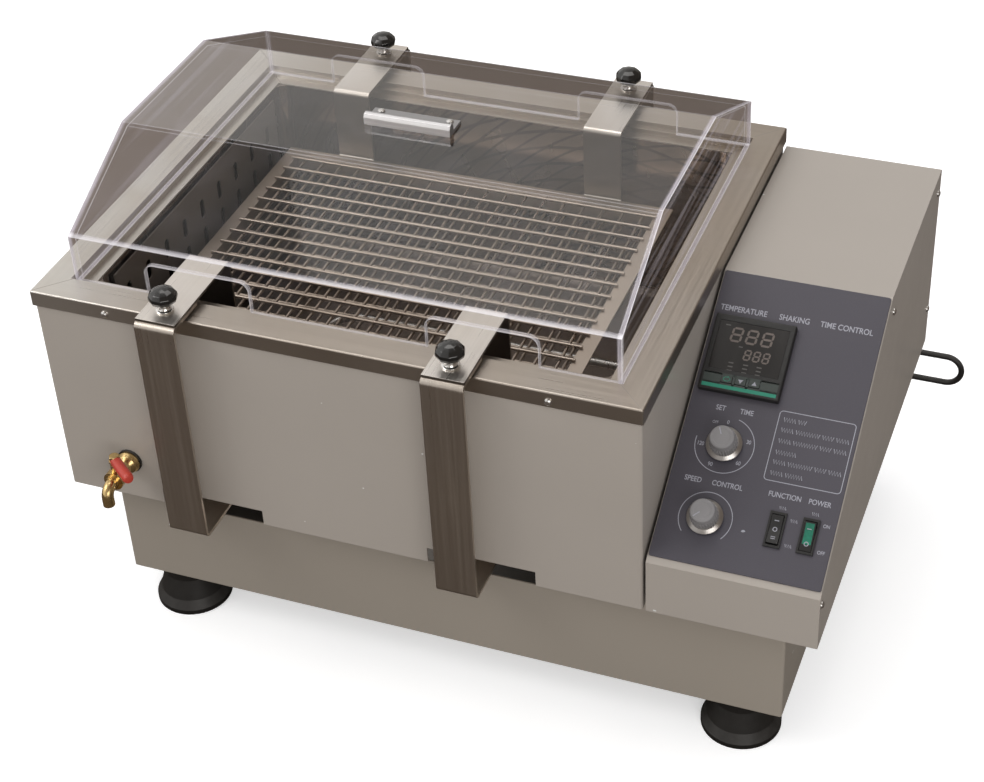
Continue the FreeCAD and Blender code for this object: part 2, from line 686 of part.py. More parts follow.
def on_carriage(x, y, z):
    """A place measured from the middle of the carriage where it stands at rest."""
    return ("centre_x + shift_x " + x, "centre_y + shift_y " + y, z)


def make_shaking_frame():
    """Plate that ties the two arms together and rides on the three crank pins."""
    plate = box("frame_plate", on_carriage("- 155", "- 125", "frame_low"),
                (310, 250, "frame_thickness"))
    plate = round_edges("frame_plate_rounded", plate, 12, along(UP))
    window = box("frame_window", on_carriage("- 66", "- 80", "frame_low - 1"), (122, 160, 20))
    window = round_edges("frame_window_rounded", window, 10, along(UP))
    hubs = []
    bores = []
    for index, (pin_x, pin_y) in enumerate([CRANK] + list(IDLERS.values())):
        x = pin_x + " + shift_x"
        y = pin_y + " + shift_y"
        hubs.append(cylinder("frame_hub_%d" % index, (x, y, "frame_low - 8"), 15,
                             "frame_thickness + 12"))
        bores.append(cylinder("frame_bore_%d" % index, (x, y, "frame_low - 20"),
                              "pin_radius + running_gap", 50))
    windowed = cut("frame_windowed", plate, [window])
    piece("shaking_frame", cut("frame_cut", fuse("frame_body", [windowed] + hubs), bores))


def mirrored(points):
    return [("-(%s)" % v, z) for v, z in points]


def stud_hole(name, side, end):
    """Hole for a clamp knob's stud through the lip of an arm and its hanger."""
    seat = on_carriage(SIDES[side] + " arm_offset", ENDS[end] + " stud_reach", "arm_high - 10")
    return cylinder(name, seat, "stud_radius + thread_gap", 20)


def make_arm(side):
    """One bent strip: up the front, up the back and under the tank, with two top lips."""
    label = side + "_arm"
    outer = [("arm_lip_end", "arm_high"), ("arm_reach", "arm_high"), ("arm_reach", "arm_low")]
    inner = [("arm_reach - arm_sheet", "arm_low + arm_sheet"),
             ("arm_reach - arm_sheet", "arm_high - arm_sheet"),
             ("arm_lip_end", "arm_high - arm_sheet")]
    strip = prism(label + "_strip", "YZ_Plane",
                  mirrored(outer) + outer[::-1] + inner[::-1] + mirrored(inner), "arm_width")
    round_body(strip, RIGHT, outer[1:] + mirrored(outer[1:]), 6)
    round_body(strip, RIGHT, inner[:2] + mirrored(inner[:2]), 3)
    x, y, _ = on_carriage(SIDES[side] + " arm_offset - arm_width / 2", "", 0)
    put(strip, (x, y, 0))
    holes = [stud_hole("%s_hole_%s" % (label, end), side, end) for end in ENDS]
    piece(label, cut(label + "_cut", strip, holes))


def make_hanger(side, end):
    """Bent plate: lies on the arm's lip, drops into the tank and turns in under the tray."""
    label = "%s_%s_hanger" % (end, side)
    high = "arm_high + hanger_sheet"
    points = [("hanger_end", "arm_high"), ("hanger_end", high),
              ("hanger_face - hanger_sheet", high), ("hanger_face - hanger_sheet", "ledge_top"),
              ("ledge_end", "ledge_top"), ("ledge_end", "ledge_top - hanger_sheet"),
              ("hanger_face", "ledge_top - hanger_sheet"), ("hanger_face", "arm_high")]
    if end == "front":
        points = mirrored(points)
    plate = prism(label + "_plate", "YZ_Plane", points, "arm_width")
    round_body(plate, RIGHT, [points[2], points[6]], 5)
    round_body(plate, RIGHT, [points[3], points[7]], 2.5)
    x, y, _ = on_carriage(SIDES[side] + " arm_offset - arm_width / 2", "", 0)
    put(plate, (x, y, 0))
    piece(label, cut(label + "_cut", plate, [stud_hole(label + "_hole", side, end)]))


def make_clamp_knob(side, end):
    """Ten-sided mushroom knob on a tapered collar, with a threaded stud below."""
    label = "%s_%s_knob" % (end, side)
    grip = "hanger_sheet + arm_sheet"
    outline_points = [
        (0, "-(%s)" % grip), ("stud_radius", "-(%s)" % grip), ("stud_radius", 0.1), (8, 0.1),
        (8, 1.6), (5.5, 2), (5.5, 6.5), (9, 8), (12.6, 11), (13.4, 14.5), (12.4, 18),
        (8.5, 21.5), (3, 23), (0, 23)]
    facets = doc.addObject("Part::Prism", label + "_facets")
    facets.Polygon = 10
    facets.Circumradius = 13.4
    facets.Height = 40
    facets.Placement.Base.z = -12
    knob = doc.addObject("Part::Common", label + "_common")
    knob.Base = lathe(label + "_turned", outline_points)
    knob.Tool = facets
    put(knob, on_carriage(SIDES[side] + " arm_offset", ENDS[end] + " stud_reach",
                          "arm_high + hanger_sheet"))
    piece(label, knob)


# ---------------------------------------------------------------- tray

TRAY_INNER_X = "(tray_length / 2 - tray_flange)"
TRAY_INNER_Y = "(tray_width / 2 - tray_flange)"


def tray_ring(name, inset, border, low, height):
    """A rectangular ring that follows the tray's outline at an inset."""
    rings = []
    for suffix, edge, z, tall in (("outer", inset, low, height),
                                  ("inner", "(%s + %s)" % (inset, border), low + " - 1",
                                   height + " + 2")):
        seat = on_carriage("- tray_length / 2 + " + edge, "- tray_width / 2 + " + edge, z)
        rings.append(box("%s_%s" % (name, suffix), seat,
                         ("tray_length - 2 * " + edge, "tray_width - 2 * " + edge, tall)))
    return cut(name, rings[0], rings[1:])


def make_tray():
    """Angle frame that rests on the four ledges, with two wire grids welded in."""
    flange = tray_ring("tray_flange_ring", "0", "tray_flange", "ledge_top", "tray_sheet")
    leg = tray_ring("tray_leg_ring", "(tray_flange - tray_sheet)", "tray_sheet",
                    "ledge_top - tray_leg", "tray_leg")
    piece("tray_frame", fuse("tray_frame_body", [flange, leg]))
    upper = "ledge_top + tray_sheet + wire_radius"
    make_grid("upper_grid", upper, TRAY_INNER_X + " + 3")
    make_grid("lower_grid", upper + " - tier_drop", TRAY_INNER_X)


def make_grid(label, high, half_x):
    """Welded mesh: lengthwise wires lie on a layer of crosswise wires, sunk in at each weld."""
    lengthwise_count = 14
    crosswise_count = 19
    half_y = TRAY_INNER_Y
    lengthwise = cylinder(label + "_lengthwise", (0, 0, 0), "wire_radius", "2 * (%s)" % half_x,
                          "X")
    crosswise = cylinder(label + "_crosswise", (0, 0, 0), "wire_radius", "2 * (%s)" % half_y,
                         "Y")
    wires = []
    for index in range(lengthwise_count):
        aside = "+ %g * wire_pitch" % (index - (lengthwise_count - 1) / 2)
        seat = on_carriage("- (%s)" % half_x, aside, high)
        wires += copies("%s_x%d" % (label, index), lengthwise, [seat], [AXES["X"]])
    for index in range(crosswise_count):
        aside = "+ %g * wire_pitch" % (index - (crosswise_count - 1) / 2)
        seat = on_carriage(aside, "- (%s)" % half_y, high + " - 1.8 * wire_radius")
        wires += copies("%s_y%d" % (label, index), crosswise, [seat], [AXES["Y"]])
    piece(label, fuse(label + "_mesh", wires))


# ---------------------------------------------------------------- lid


def make_lid():
    """Clear folded cover: upright lips, two slopes and a flat top, with arm cut-outs."""
    half = "lid_depth / 2"
    block = prism("lid_block", "YZ_Plane", [
        ("-(%s)" % half, 0), (half, 0), (half, "lid_lip"), ("lid_flat_back", "lid_height"),
        ("-(lid_flat_front)", "lid_height"), ("-(%s)" % half, "lid_lip")], "lid_width")
    put(block, ("centre_x - lid_width / 2", "centre_y", "lid_seat"))
    shell = hollow("lid_hollow", block, -UP, "lid_sheet")
    tools = seated("lid_screw_hole", SCREW_HOLE, LID_SCREWS)
    for side, sign in SIDES.items():
        left = "centre_x %s arm_offset - cutout_width / 2" % sign
        for end, wall in (("front", "centre_y - lid_depth / 2 - 5"),
                          ("rear", "centre_y + lid_depth / 2 - 10")):
            name = "lid_opening_%s_%s" % (end, side)
            opening = box(name, (left, wall, "lid_seat - 1"),
                          ("cutout_width", 15, "cutout_height + 1"))
            tools.append(round_edges(name + "_round", opening, 9, lambda edge: (
                along(BACK)(edge) and edge.CenterOfMass.z > size("rim_top"))))
    piece("lid_shell", cut("lid_cut", shell, tools))


def make_lid_handle():
    """Finger pull across the lid: a flat flange behind a raised rounded bar."""
    bar = prism("handle_bar", "YZ_Plane", [
        (0, 0), (26, 0), (26, 3), (9, 3), (9, 7), (7.5, 10), (4.5, 11), (1.5, 10), (0, 7)],
        "handle_length")
    put(bar, ("centre_x - handle_length / 2", "centre_y - handle_front",
              "lid_seat + lid_height"))
    piece("lid_handle", cut("handle_cut", bar, seated("handle_hole", SCREW_HOLE, LID_SCREWS)))


# ---------------------------------------------------------------- control box


def slope_frame():
    """The panel's own frame: x to the right, y up the slope, z out of the panel's face."""
    fall = Vector(0, size("slope_top_y") - size("slope_low_y"),
                  size("box_top") - size("slope_low_z"))
    turn = Rotation(RIGHT, math.degrees(math.atan2(fall.z, fall.y)))
    corner = Vector(size("box_left"), size("slope_top_y"), size("box_top"))
    return Placement(corner + turn.multVec(UP) * size("panel_sheet"), turn)


def on_slope(name, obj):
    """Carry a piece that was built in the panel's own frame to its place on the slope."""
    holder = compound(name, [obj])
    holder.Placement = slope_frame()
    return holder


def panel_piece(label, obj):
    piece(label, on_slope(label + "_seated", obj))


def make_control_box():
    """Folded cover beside the tank, open towards it, with a window under the panel."""
    block = prism("box_block", "YZ_Plane", [
        ("box_back", "casing_bottom"), ("box_back", "box_top"), ("slope_top_y", "box_top"),
        ("slope_low_y", "slope_low_z"), ("box_front", "slope_low_z - box_lip"),
        ("box_front", "casing_bottom")], "box_width")
    put(block, ("box_left", 0, 0))
    shell = hollow("box_hollow", block, -RIGHT, "painted_sheet")
    shell = round_edges("box_rounded", shell, 1.4, is_top_bend)
    window = box("box_window", (6, "10 - panel_length", -10),
                 ("box_width - 12", "panel_length - 20", 20))
    tools = [on_slope("box_window_seated", window),
             cylinder("box_wire_hole", ("box_left + 40", "centre_y", "casing_bottom - 5"), 12, 10)]
    tools += [box("box_vent_%d" % index,
                  ("box_left + 40", "box_back - 5", "casing_bottom + %d" % (60 + 14 * index)),
                  (70, 10, 4)) for index in range(8)]
    tools += seated("box_screw_hole", SCREW_HOLE, BOX_SCREWS)
    piece("control_box_shell", cut("box_cut", shell, tools))


def is_top_bend(edge):
    """True for the cover's two outer bends beside its flat top."""
    middle = edge.CenterOfMass
    bends = [size("box_back"), size("slope_top_y")]
    near = min(math.hypot(middle.y - y, middle.z - size("box_top")) for y in bends)
    return along(RIGHT)(edge) and near < 0.05


def panel_box(name, middle, extent, low):
    """A box on the slope, centred in plan on a point of the panel."""
    x, down = middle
    width, length, tall = extent
    return box(name, ("%s - (%s) / 2" % (x, width), "-(%s) - (%s) / 2" % (down, length), low),
               (width, length, tall))


def panel_post(name, middle, radius, low, tall):
    x, down = middle
    return cylinder(name, (x, "-(%s)" % down, low), radius, tall)


CONTROLLER = ("controller_left + controller_side / 2", "controller_down + controller_side / 2")
TIMER = ("knob_x", "timer_down")
SPEED = ("knob_x", "speed_down")
SWITCHES = {"function": ("function_x", "switch_down"), "power": ("power_x", "switch_down")}
KEYS = {"key_set": -12.3, "key_down": 0, "key_up": 12.3}


def make_panel():
    plate = box("panel_plate", (1, "-(panel_length + 1.5)", "-panel_sheet"),
                ("box_width - 2", "panel_length", "panel_sheet"))
    plate = round_edges("panel_rounded", plate, 2, along(UP))
    side = "controller_side - 4.6"
    holes = [panel_box("panel_controller_hole", CONTROLLER, (side, side, 20), -10),
             panel_post("panel_timer_hole", TIMER, 5.2, -10, 20),
             panel_post("panel_speed_hole", SPEED, 5.2, -10, 20)]
    holes += [panel_box("panel_%s_hole" % name, middle,
                        ("switch_width - 1.6", "switch_length - 2.6", 20), -10)
              for name, middle in SWITCHES.items()]
    panel_piece("control_panel", cut("panel_cut", plate, holes))


def make_controller():
    """Panel-mounting temperature controller: bezel, deep body, window and three keys."""
    side = "controller_side"
    across, down = CONTROLLER
    glass_middle = (across, down + " - 7")
    key_middles = {label: ("%s + %g" % (across, aside), down + " + 24.5")
                   for label, aside in KEYS.items()}
    bezel = panel_box("controller_bezel", CONTROLLER, (side, side, "controller_proud"), 0)
    bezel = round_edges("controller_bezel_round", bezel, 1.5, lambda edge: (
        edge.CenterOfMass.z > 1 or along(UP)(edge)))
    body = panel_box("controller_body", CONTROLLER, (side + " - 5", side + " - 5", 70), -70)
    recess = panel_box("controller_recess", glass_middle, (side + " - 10", 46, 5),
                       "controller_proud - 1.8")
    pockets = [panel_box(label + "_pocket", middle, (10, 7, 5), "controller_proud - 3.4")
               for label, middle in key_middles.items()]
    panel_piece("controller_case", cut("controller_cut", fuse("controller_solid", [bezel, body]),
                                       [recess] + pockets))
    panel_piece("controller_window",
                panel_box("controller_glass", glass_middle, (side + " - 10.4", 45.6, 1.5),
                          "controller_proud - 1.8"))
    for label, middle in key_middles.items():
        key = panel_box(label + "_block", middle, (9.4, 6.4, 3.3), "controller_proud - 2.5")
        panel_piece(label, round_edges(label + "_round", key, 1, along(UP)))


def spindle_unit(name, middle, housing):
    """A dial's works behind the panel, with its threaded bush and spindle through it."""
    bush = panel_post(name + "_bush", middle, 5, "-panel_sheet", 3.5)
    spindle = panel_post(name + "_spindle", middle, "spindle_radius", "-panel_sheet", 15.5)
    return fuse(name + "_body", [housing, bush, spindle])


def make_dials():
    timer_case = panel_box("timer_case", TIMER, (44, 44, 32), "-panel_sheet - 32")
    panel_piece("timer_mechanism", spindle_unit("timer", TIMER, timer_case))
    speed_can = panel_post("speed_can", SPEED, 14, "-panel_sheet - 20", 20)
    panel_piece("speed_control", spindle_unit("speed", SPEED, speed_can))
    bore = "spindle_radius + running_gap"
    for label, (x, down) in (("timer_knob", TIMER), ("speed_knob", SPEED)):
        knob = lathe(label + "_turned", [
            (bore, 2.4), ("knob_skirt_radius", 2.4), ("knob_skirt_radius", 3.6),
            ("knob_cap_radius + 1.6", 5.2), ("knob_cap_radius", 6.2),
            ("knob_cap_radius - 0.7", 19), ("knob_cap_radius - 2", 20.2), (0, 20.2), (0, 15),
            (bore, 15)])
        panel_piece(label, put(knob, (x, "-(%s)" % down, 0)))


def make_switch(name, tilt):
    """Snap-in rocker switch: bezel and body with a pocket, and the rocker on its pin in it."""
    x, down = middle = SWITCHES[name]
    width, length = "switch_width", "switch_length"
    bezel = panel_box(name + "_bezel", middle, (width, length, 1.8), 0)
    can = panel_box(name + "_can", middle, (width + " - 2", length + " - 3", 22), -22)
    pocket = panel_box(name + "_pocket", middle, (width + " - 3.6", length + " - 4.4", 12), -6.5)
    bearing = cylinder(name + "_bearing", (x + " - switch_width / 2 + 1.1", "-" + down, -1),
                       "rocker_pin_radius + running_gap", "switch_width - 2.2", "X")
    panel_piece(name + "_switch_body",
                cut(name + "_switch_cut", fuse(name + "_switch_solid", [bezel, can]),
                    [pocket, bearing]))
    paddle = prism(name + "_paddle", "YZ_Plane", [
        (-12.4, -2.5), (12.4, -2.5), (12.5, 4.2), (0, 2.9), (-12.5, 4.2)], "switch_width - 4.4")
    pin = cylinder(name + "_pin", (-1, 0, 0), "rocker_pin_radius", "switch_width - 2.4", "X")
    rocker = fuse(name + "_rocker_block", [paddle, pin])
    rocker.Placement.Rotation = Rotation(RIGHT, tilt)
    put(rocker, (x + " - (switch_width - 4.4) / 2", "-" + down, -1))
    panel_piece(name + "_rocker", rocker)


def make_electrics():
    """Motor driver board with transformer and heat sink, on the floor of the control box."""
    x, y, z = "box_left + 20", "box_back - 130", "casing_bottom + painted_sheet"
    parts = [box("board", (x, y, z + " + 10"), (100, 90, 1.6)),
             box("transformer", (x + " + 10", y + " + 12", z + " + 11.6"), (44, 40, 34)),
             box("heat_sink", (x + " + 66", y + " + 10", z + " + 11.6"), (22, 60, 25))]
    post = cylinder("standoff", (0, 0, 0), 3, 10)
    parts += copies("board_post", post, [("%s + %d" % (x, dx), "%s + %d" % (y, dy), z)
                                         for dx in (6, 94) for dy in (6, 84)])
    piece("driver_board", fuse("board_assembly", parts))


def rounded_path(corners, radii):
    """Wire of straight runs through the corners, with an arc of its own radius at each bend."""
    edges = []
    run_start = corners[0]
    for before, corner, after, radius in zip(corners, corners[1:], corners[2:], radii):
        inward = (before - corner).normalize()
        onward = (after - corner).normalize()
        half_angle = inward.getAngle(onward) / 2
        arc_start = corner + inward * (radius / math.tan(half_angle))
        arc_end = corner + onward * (radius / math.tan(half_angle))
        middle = (inward + onward).normalize() * (radius / math.sin(half_angle) - radius)
        edges.append(Part.makeLine(run_start, arc_start))
        edges.append(Part.Arc(arc_start, corner + middle, arc_end).toShape())
        run_start = arc_end
    edges.append(Part.makeLine(run_start, corners[-1]))
    return Part.Wire(edges)


def make_cord():
    """Mains cord: out of the base's rear wall, one loose loop, down to a plug on the bench."""
    gland = lathe("gland_turned", [
        ("cord_radius + 0.1", -6), (6, -6), (6, 0), (10, 0), (10, 3), (7.5, 5), (5, 14),
        ("cord_radius + 0.1", 14)])
    gland.Placement.Rotation = FACING["rear"]
    put(gland, ("cord_x", "base_front + base_depth", "cord_z"))
    piece("cord_gland", gland)

    outlet = Vector(size("cord_x"), size("base_front") + size("base_depth"), size("cord_z"))
    corners = [(0, -20, 0), (0, 36, 0), (99, 36, 0), (99, 36, -32), (10, 36, -32),
               (-60, 36, -126), (-130, 36, -126)]
    path = rounded_path([outlet + Vector(*corner) for corner in corners],
                        [18, 15.9, 15.9, 30, 30])
    section = Part.Circle(outlet - BACK * 20, BACK, size("cord_radius")).toShape()
    cord = path.makePipeShell([Part.Wire([section])], True, False)
    feature = doc.addObject("Part::Feature", "cord")
    feature.Shape = cord.fuse(plug_solids(outlet + Vector(*corners[-1])))
    piece("power_cord", feature)


def plug_solids(neck_end):
    """Moulded plug with two flat pins, pointing left from the end of the cord."""
    neck = Part.makeCone(4, 8, 14, neck_end + RIGHT * 4, -RIGHT)
    front = neck_end - RIGHT * 6
    body = Part.makeBox(34, 26, 22, front - Vector(34, 13, 11))
    body = body.makeFillet(4, [edge for edge in body.Edges if along(RIGHT)(edge)])
    pins = [Part.makeBox(18, 1.6, 6.4, front + Vector(-50, y, -3.2)) for y in (-8, 6.4)]
    return [neck, body] + pins


# ---------------------------------------------------------------- build and write


def build():
    make_base()
    make_feet()
    make_casing()
    make_rim()
    make_inner_tank()
    make_insulation()
    make_baffle()
    make_heater()
    make_tap()
    make_crank()
    make_motor()
    make_idlers()
    make_belt()
    make_shaking_frame()
    for side in SIDES:
        make_arm(side)
        for end in ENDS:
            make_hanger(side, end)
            make_clamp_knob(side, end)
    make_tray()
    make_lid()
    make_lid_handle()
    make_control_box()
    make_panel()
    make_controller()
    make_dials()
    make_switch("function", 0)
    make_switch("power", size("rocker_tilt"))
    make_electrics()
    make_cord()
    make_screws()


def write_pieces():
    doc.recompute()
    for obj in doc.Objects:
        if "Invalid" in obj.State or "Error" in obj.State:
            raise RuntimeError("%s failed: %s" % (obj.Label, obj.State))
    os.makedirs("parts", exist_ok=True)
    for obj in pieces:
        if obj.Shape.isNull() or not obj.Shape.isValid():
            raise RuntimeError(obj.Label + " has no valid shape")
        obj.Shape.exportStep("parts/%s.step" % obj.Label)
        print("%-22s %2d solid(s) %10.0f mm3" % (obj.Label, len(obj.Shape.Solids),
                                                 obj.Shape.Volume))


build()
write_pieces()
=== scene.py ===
import json
import math

import bmesh
import bpy
from mathutils import Matrix, Vector


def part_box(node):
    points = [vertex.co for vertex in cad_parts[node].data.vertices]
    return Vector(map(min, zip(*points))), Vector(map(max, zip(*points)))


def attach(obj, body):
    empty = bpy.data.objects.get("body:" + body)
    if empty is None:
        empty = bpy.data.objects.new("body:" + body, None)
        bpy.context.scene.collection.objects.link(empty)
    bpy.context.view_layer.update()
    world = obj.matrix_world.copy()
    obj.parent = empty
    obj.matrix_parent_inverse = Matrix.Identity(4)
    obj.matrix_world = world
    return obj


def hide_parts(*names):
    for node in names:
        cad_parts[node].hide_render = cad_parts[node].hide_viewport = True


MM = 0.001

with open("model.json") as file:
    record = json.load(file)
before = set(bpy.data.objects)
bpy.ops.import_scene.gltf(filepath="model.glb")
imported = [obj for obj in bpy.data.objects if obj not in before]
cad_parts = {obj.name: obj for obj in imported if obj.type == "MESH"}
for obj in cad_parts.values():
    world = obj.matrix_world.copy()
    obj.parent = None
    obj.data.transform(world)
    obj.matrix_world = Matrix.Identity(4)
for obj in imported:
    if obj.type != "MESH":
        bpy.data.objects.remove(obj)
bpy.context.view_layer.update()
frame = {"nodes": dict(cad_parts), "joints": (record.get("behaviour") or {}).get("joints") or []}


# ---------------------------------------------------------------- shader helper


class Shader:
    """Adds nodes to one new material and joins them."""

    def __init__(self, name):
        self.material = bpy.data.materials.new(name)
        self.material.use_nodes = True
        self.tree = self.material.node_tree
        self.tree.nodes.clear()
        self.output = self.add("OutputMaterial")

    def add(self, kind, inputs=None, **settings):
        node = self.tree.nodes.new("ShaderNode" + kind)
        for name, value in settings.items():
            setattr(node, name, value)
        for name, value in (inputs or {}).items():
            self.feed(node.inputs[name], value)
        return node

    def feed(self, socket, value):
        if isinstance(value, bpy.types.NodeSocket):
            self.tree.links.new(value, socket)
        elif isinstance(value, tuple) and len(value) == 3 and socket.type == "RGBA":
            socket.default_value = value + (1.0,)
        else:
            socket.default_value = value

    def math(self, operation, first, second=0.0, clamp=False):
        node = self.add("Math", {0: first, 1: second}, operation=operation)
        node.use_clamp = clamp
        return node.outputs[0]

    def place(self):
        """Position in the row frame at rest; it travels with the piece."""
        return self.add("TexCoord").outputs["Object"]

    def axes(self):
        split = self.add("SeparateXYZ", {0: self.place()})
        return split.outputs[0], split.outputs[1], split.outputs[2]

    def noise(self, scale, detail=2.0, stretch=(1.0, 1.0, 1.0), distortion=0.0):
        """Noise from 0 to 1; scale is in features per metre, and stretch multiplies each axis."""
        spread = self.add("VectorMath", {0: self.place(), 1: stretch}, operation="MULTIPLY")
        node = self.add("TexNoise", {"Vector": spread.outputs[0], "Scale": scale,
                                     "Detail": detail, "Distortion": distortion})
        return node.outputs["Fac"]

    def remap(self, value, low, high, to_low, to_high):
        node = self.add("MapRange", {"Value": value, "From Min": low, "From Max": high,
                                     "To Min": to_low, "To Max": to_high})
        return node.outputs["Result"]

    def mix(self, factor, first, second):
        node = self.add("Mix", data_type="RGBA")
        self.feed(node.inputs["Factor"], factor)
        self.feed(node.inputs["A"], first)
        self.feed(node.inputs["B"], second)
        return node.outputs["Result"]

    def tint(self, colour, factor):
        """A colour multiplied by a number or by another colour."""
        node = self.add("VectorMath", {0: colour, 1: factor}, operation="MULTIPLY")
        return node.outputs[0]

    def rounded(self, radius):
        """A normal that rounds sharp edges over a radius, for the glint along them."""
        return self.add("Bevel", {"Radius": radius}, samples=4).outputs[0]

    def bump(self, height, strength, distance, normal=None):
        inputs = {"Height": height, "Strength": strength, "Distance": distance}
        if normal is not None:
            inputs["Normal"] = normal
        return self.add("Bump", inputs).outputs[0]

    def edge_share(self, radius, gain):
        """From 0 on flat parts to 1 on edges sharper than the radius."""
        cosine = self.add("VectorMath", {0: self.rounded(radius),
                                         1: self.add("NewGeometry").outputs["Normal"]},
                          operation="DOT_PRODUCT")
        return self.math("MULTIPLY", self.math("SUBTRACT", 1.0, cosine.outputs["Value"]), gain,
                         clamp=True)

    def finish(self, surface):
        self.tree.links.new(surface.outputs[0], self.output.inputs["Surface"])
        return self.material


def scaled(colour, factor):
    return tuple(channel * factor for channel in colour)


# ---------------------------------------------------------------- materials

EDGE_RADIUS = 0.7 * MM
LID_SHEET = 4.6 * MM
LENS_HALF_WIDTH = 3.4 * MM
LENS_HALF_LENGTH = 6.6 * MM


def paint(name, colour, roughness=0.38):
    """Sprayed enamel: faint orange peel, slow shade drift and a few tiny chips."""
    shader = Shader(name)
    drift = shader.noise(5.0, 3.0)
    body = shader.mix(drift, scaled(colour, 0.94), scaled(colour, 1.05))
    chips = shader.math("GREATER_THAN", shader.noise(120.0, 1.0), 0.83)
    body = shader.mix(chips, body, (0.72, 0.72, 0.70))
    peel = shader.bump(shader.noise(900.0, 1.0), 0.05, 0.1 * MM, shader.rounded(EDGE_RADIUS))
    smear = shader.remap(shader.noise(14.0, 4.0), 0.3, 0.7, roughness - 0.06, roughness + 0.08)
    return shader.finish(shader.add("BsdfPrincipled", {
        "Base Color": body, "Roughness": smear, "Normal": peel, "Coat Weight": 0.30,
        "Coat Roughness": 0.20}))


def brushed_surface(shader, colour, along, roughness, grain, smudge=0.16, metallic=1.0):
    """Brushed metal with its grain along one axis: 0, 1 or 2, or a pair of them."""
    long_axes = along if isinstance(along, tuple) else (along,)
    stretch = tuple(0.012 if axis in long_axes else 1.0 for axis in range(3))
    hairs = shader.noise(450.0, 2.0, stretch)
    bands = shader.noise(70.0, 2.0, stretch)
    clouds = shader.noise(9.0, 4.0, distortion=0.6)
    shade = shader.math("ADD", shader.math("MULTIPLY", hairs, 0.6),
                        shader.math("MULTIPLY", bands, 0.4))
    tone = shader.tint(colour, shader.remap(shade, 0.0, 1.0, 1.0 - grain, 1.0 + grain))
    tone = shader.mix(shader.remap(clouds, 0.35, 0.7, 0.0, 1.0),
                      shader.tint(tone, (0.86, 0.83, 0.79)), tone)
    rough = shader.math("ADD", shader.remap(hairs, 0.3, 0.7, roughness - 0.06, roughness + 0.06),
                        shader.remap(clouds, 0.3, 0.7, smudge * 0.4, -smudge * 0.4))
    normal = shader.bump(hairs, 0.02, 0.05 * MM, shader.rounded(EDGE_RADIUS))
    return shader.add("BsdfPrincipled", {
        "Base Color": tone, "Metallic": metallic, "Roughness": rough, "Normal": normal})


def brushed(name, colour, along, roughness=0.34, grain=0.10, smudge=0.16, metallic=1.0):
    shader = Shader(name)
    return shader.finish(brushed_surface(shader, colour, along, roughness, grain, smudge,
                                         metallic))


def rim_steel(name, colour):
    """Brushed frame mitred at its corners, with the grain along each side, and a painted highlight
    paler towards its left end.
    """
    shader = Shader(name)
    low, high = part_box("rim_frame")
    x, y, _ = shader.axes()
    reach = []
    for value, index in ((x, 0), (y, 1)):
        middle = (low[index] + high[index]) / 2
        aside = shader.math("ABSOLUTE", shader.math("SUBTRACT", value, middle))
        reach.append(shader.math("SUBTRACT", (high[index] - low[index]) / 2, aside))
    gap = shader.math("SUBTRACT", reach[0], reach[1])
    is_side = shader.math("LESS_THAN", gap, 0.0)
    seam = shader.math("LESS_THAN", shader.math("ABSOLUTE", gap), 0.5 * MM)
    # painted highlight: the frame is painted paler over its left 13 cm, where the light from the
    # left falls
    left_lit_tone = shader.mix(shader.remap(x, low.x, low.x + 0.13, 0.0, 1.0), (0.74, 0.73, 0.71), colour)
    across = brushed_surface(shader, left_lit_tone, (0, 2), 0.36, 0.12)
    lengthwise = brushed_surface(shader, left_lit_tone, (1, 2), 0.36, 0.12)
    weld = shader.add("BsdfPrincipled", {"Base Color": scaled(colour, 0.8), "Metallic": 1.0,
                                         "Roughness": 0.5})
    sides = shader.add("MixShader", {0: is_side, 1: across.outputs[0], 2: lengthwise.outputs[0]})
    return shader.finish(shader.add("MixShader", {0: seam, 1: sides.outputs[0],
                                                  2: weld.outputs[0]}))


def hanger_steel(name, colour):
    """Hangers: painted light pale on their top faces, and painted dark shade on the faces that
    drop into the bath.
    """
    shader = Shader(name)
    facing = shader.add("SeparateXYZ", {0: shader.add("NewGeometry").outputs["Normal"]})
    # painted light and shade: faces lying flat get the lit pale copy, upright faces the darker
    # shaded copy
    level = shader.remap(shader.math("ABSOLUTE", facing.outputs[2]), 0.3, 0.9, 0.0, 1.0)
    dull = brushed_surface(shader, scaled(colour, 0.42), (0, 2), 0.36, 0.10)
    bright = brushed_surface(shader, (0.86, 0.83, 0.80), (1, 2), 0.34, 0.10)
    return shader.finish(shader.add("MixShader", {0: level, 1: dull.outputs[0],
                                                  2: bright.outputs[0]}))


def handle_metal(name, colour):
    """Extruded bar with a painted darker top and a painted highlight on its front face."""
    shader = Shader(name)
    facing = shader.add("SeparateXYZ", {0: shader.rounded(1.6 * MM)})
    # painted highlight: faces turned to the front get the bright colour, the top a painted darker
    # copy
    front = shader.remap(facing.outputs[1], -0.85, -0.25, 1.0, 0.0)
    streaks = shader.noise(500.0, 2.0, (0.02, 1.0, 1.0))
    tone = shader.mix(front, scaled(colour, 0.42), colour)
    tone = shader.tint(tone, shader.remap(streaks, 0.3, 0.7, 0.9, 1.08))
    return shader.finish(shader.add("BsdfPrincipled", {
        "Base Color": tone, "Metallic": 0.85, "Roughness": 0.3,
        "Normal": shader.rounded(EDGE_RADIUS)}))


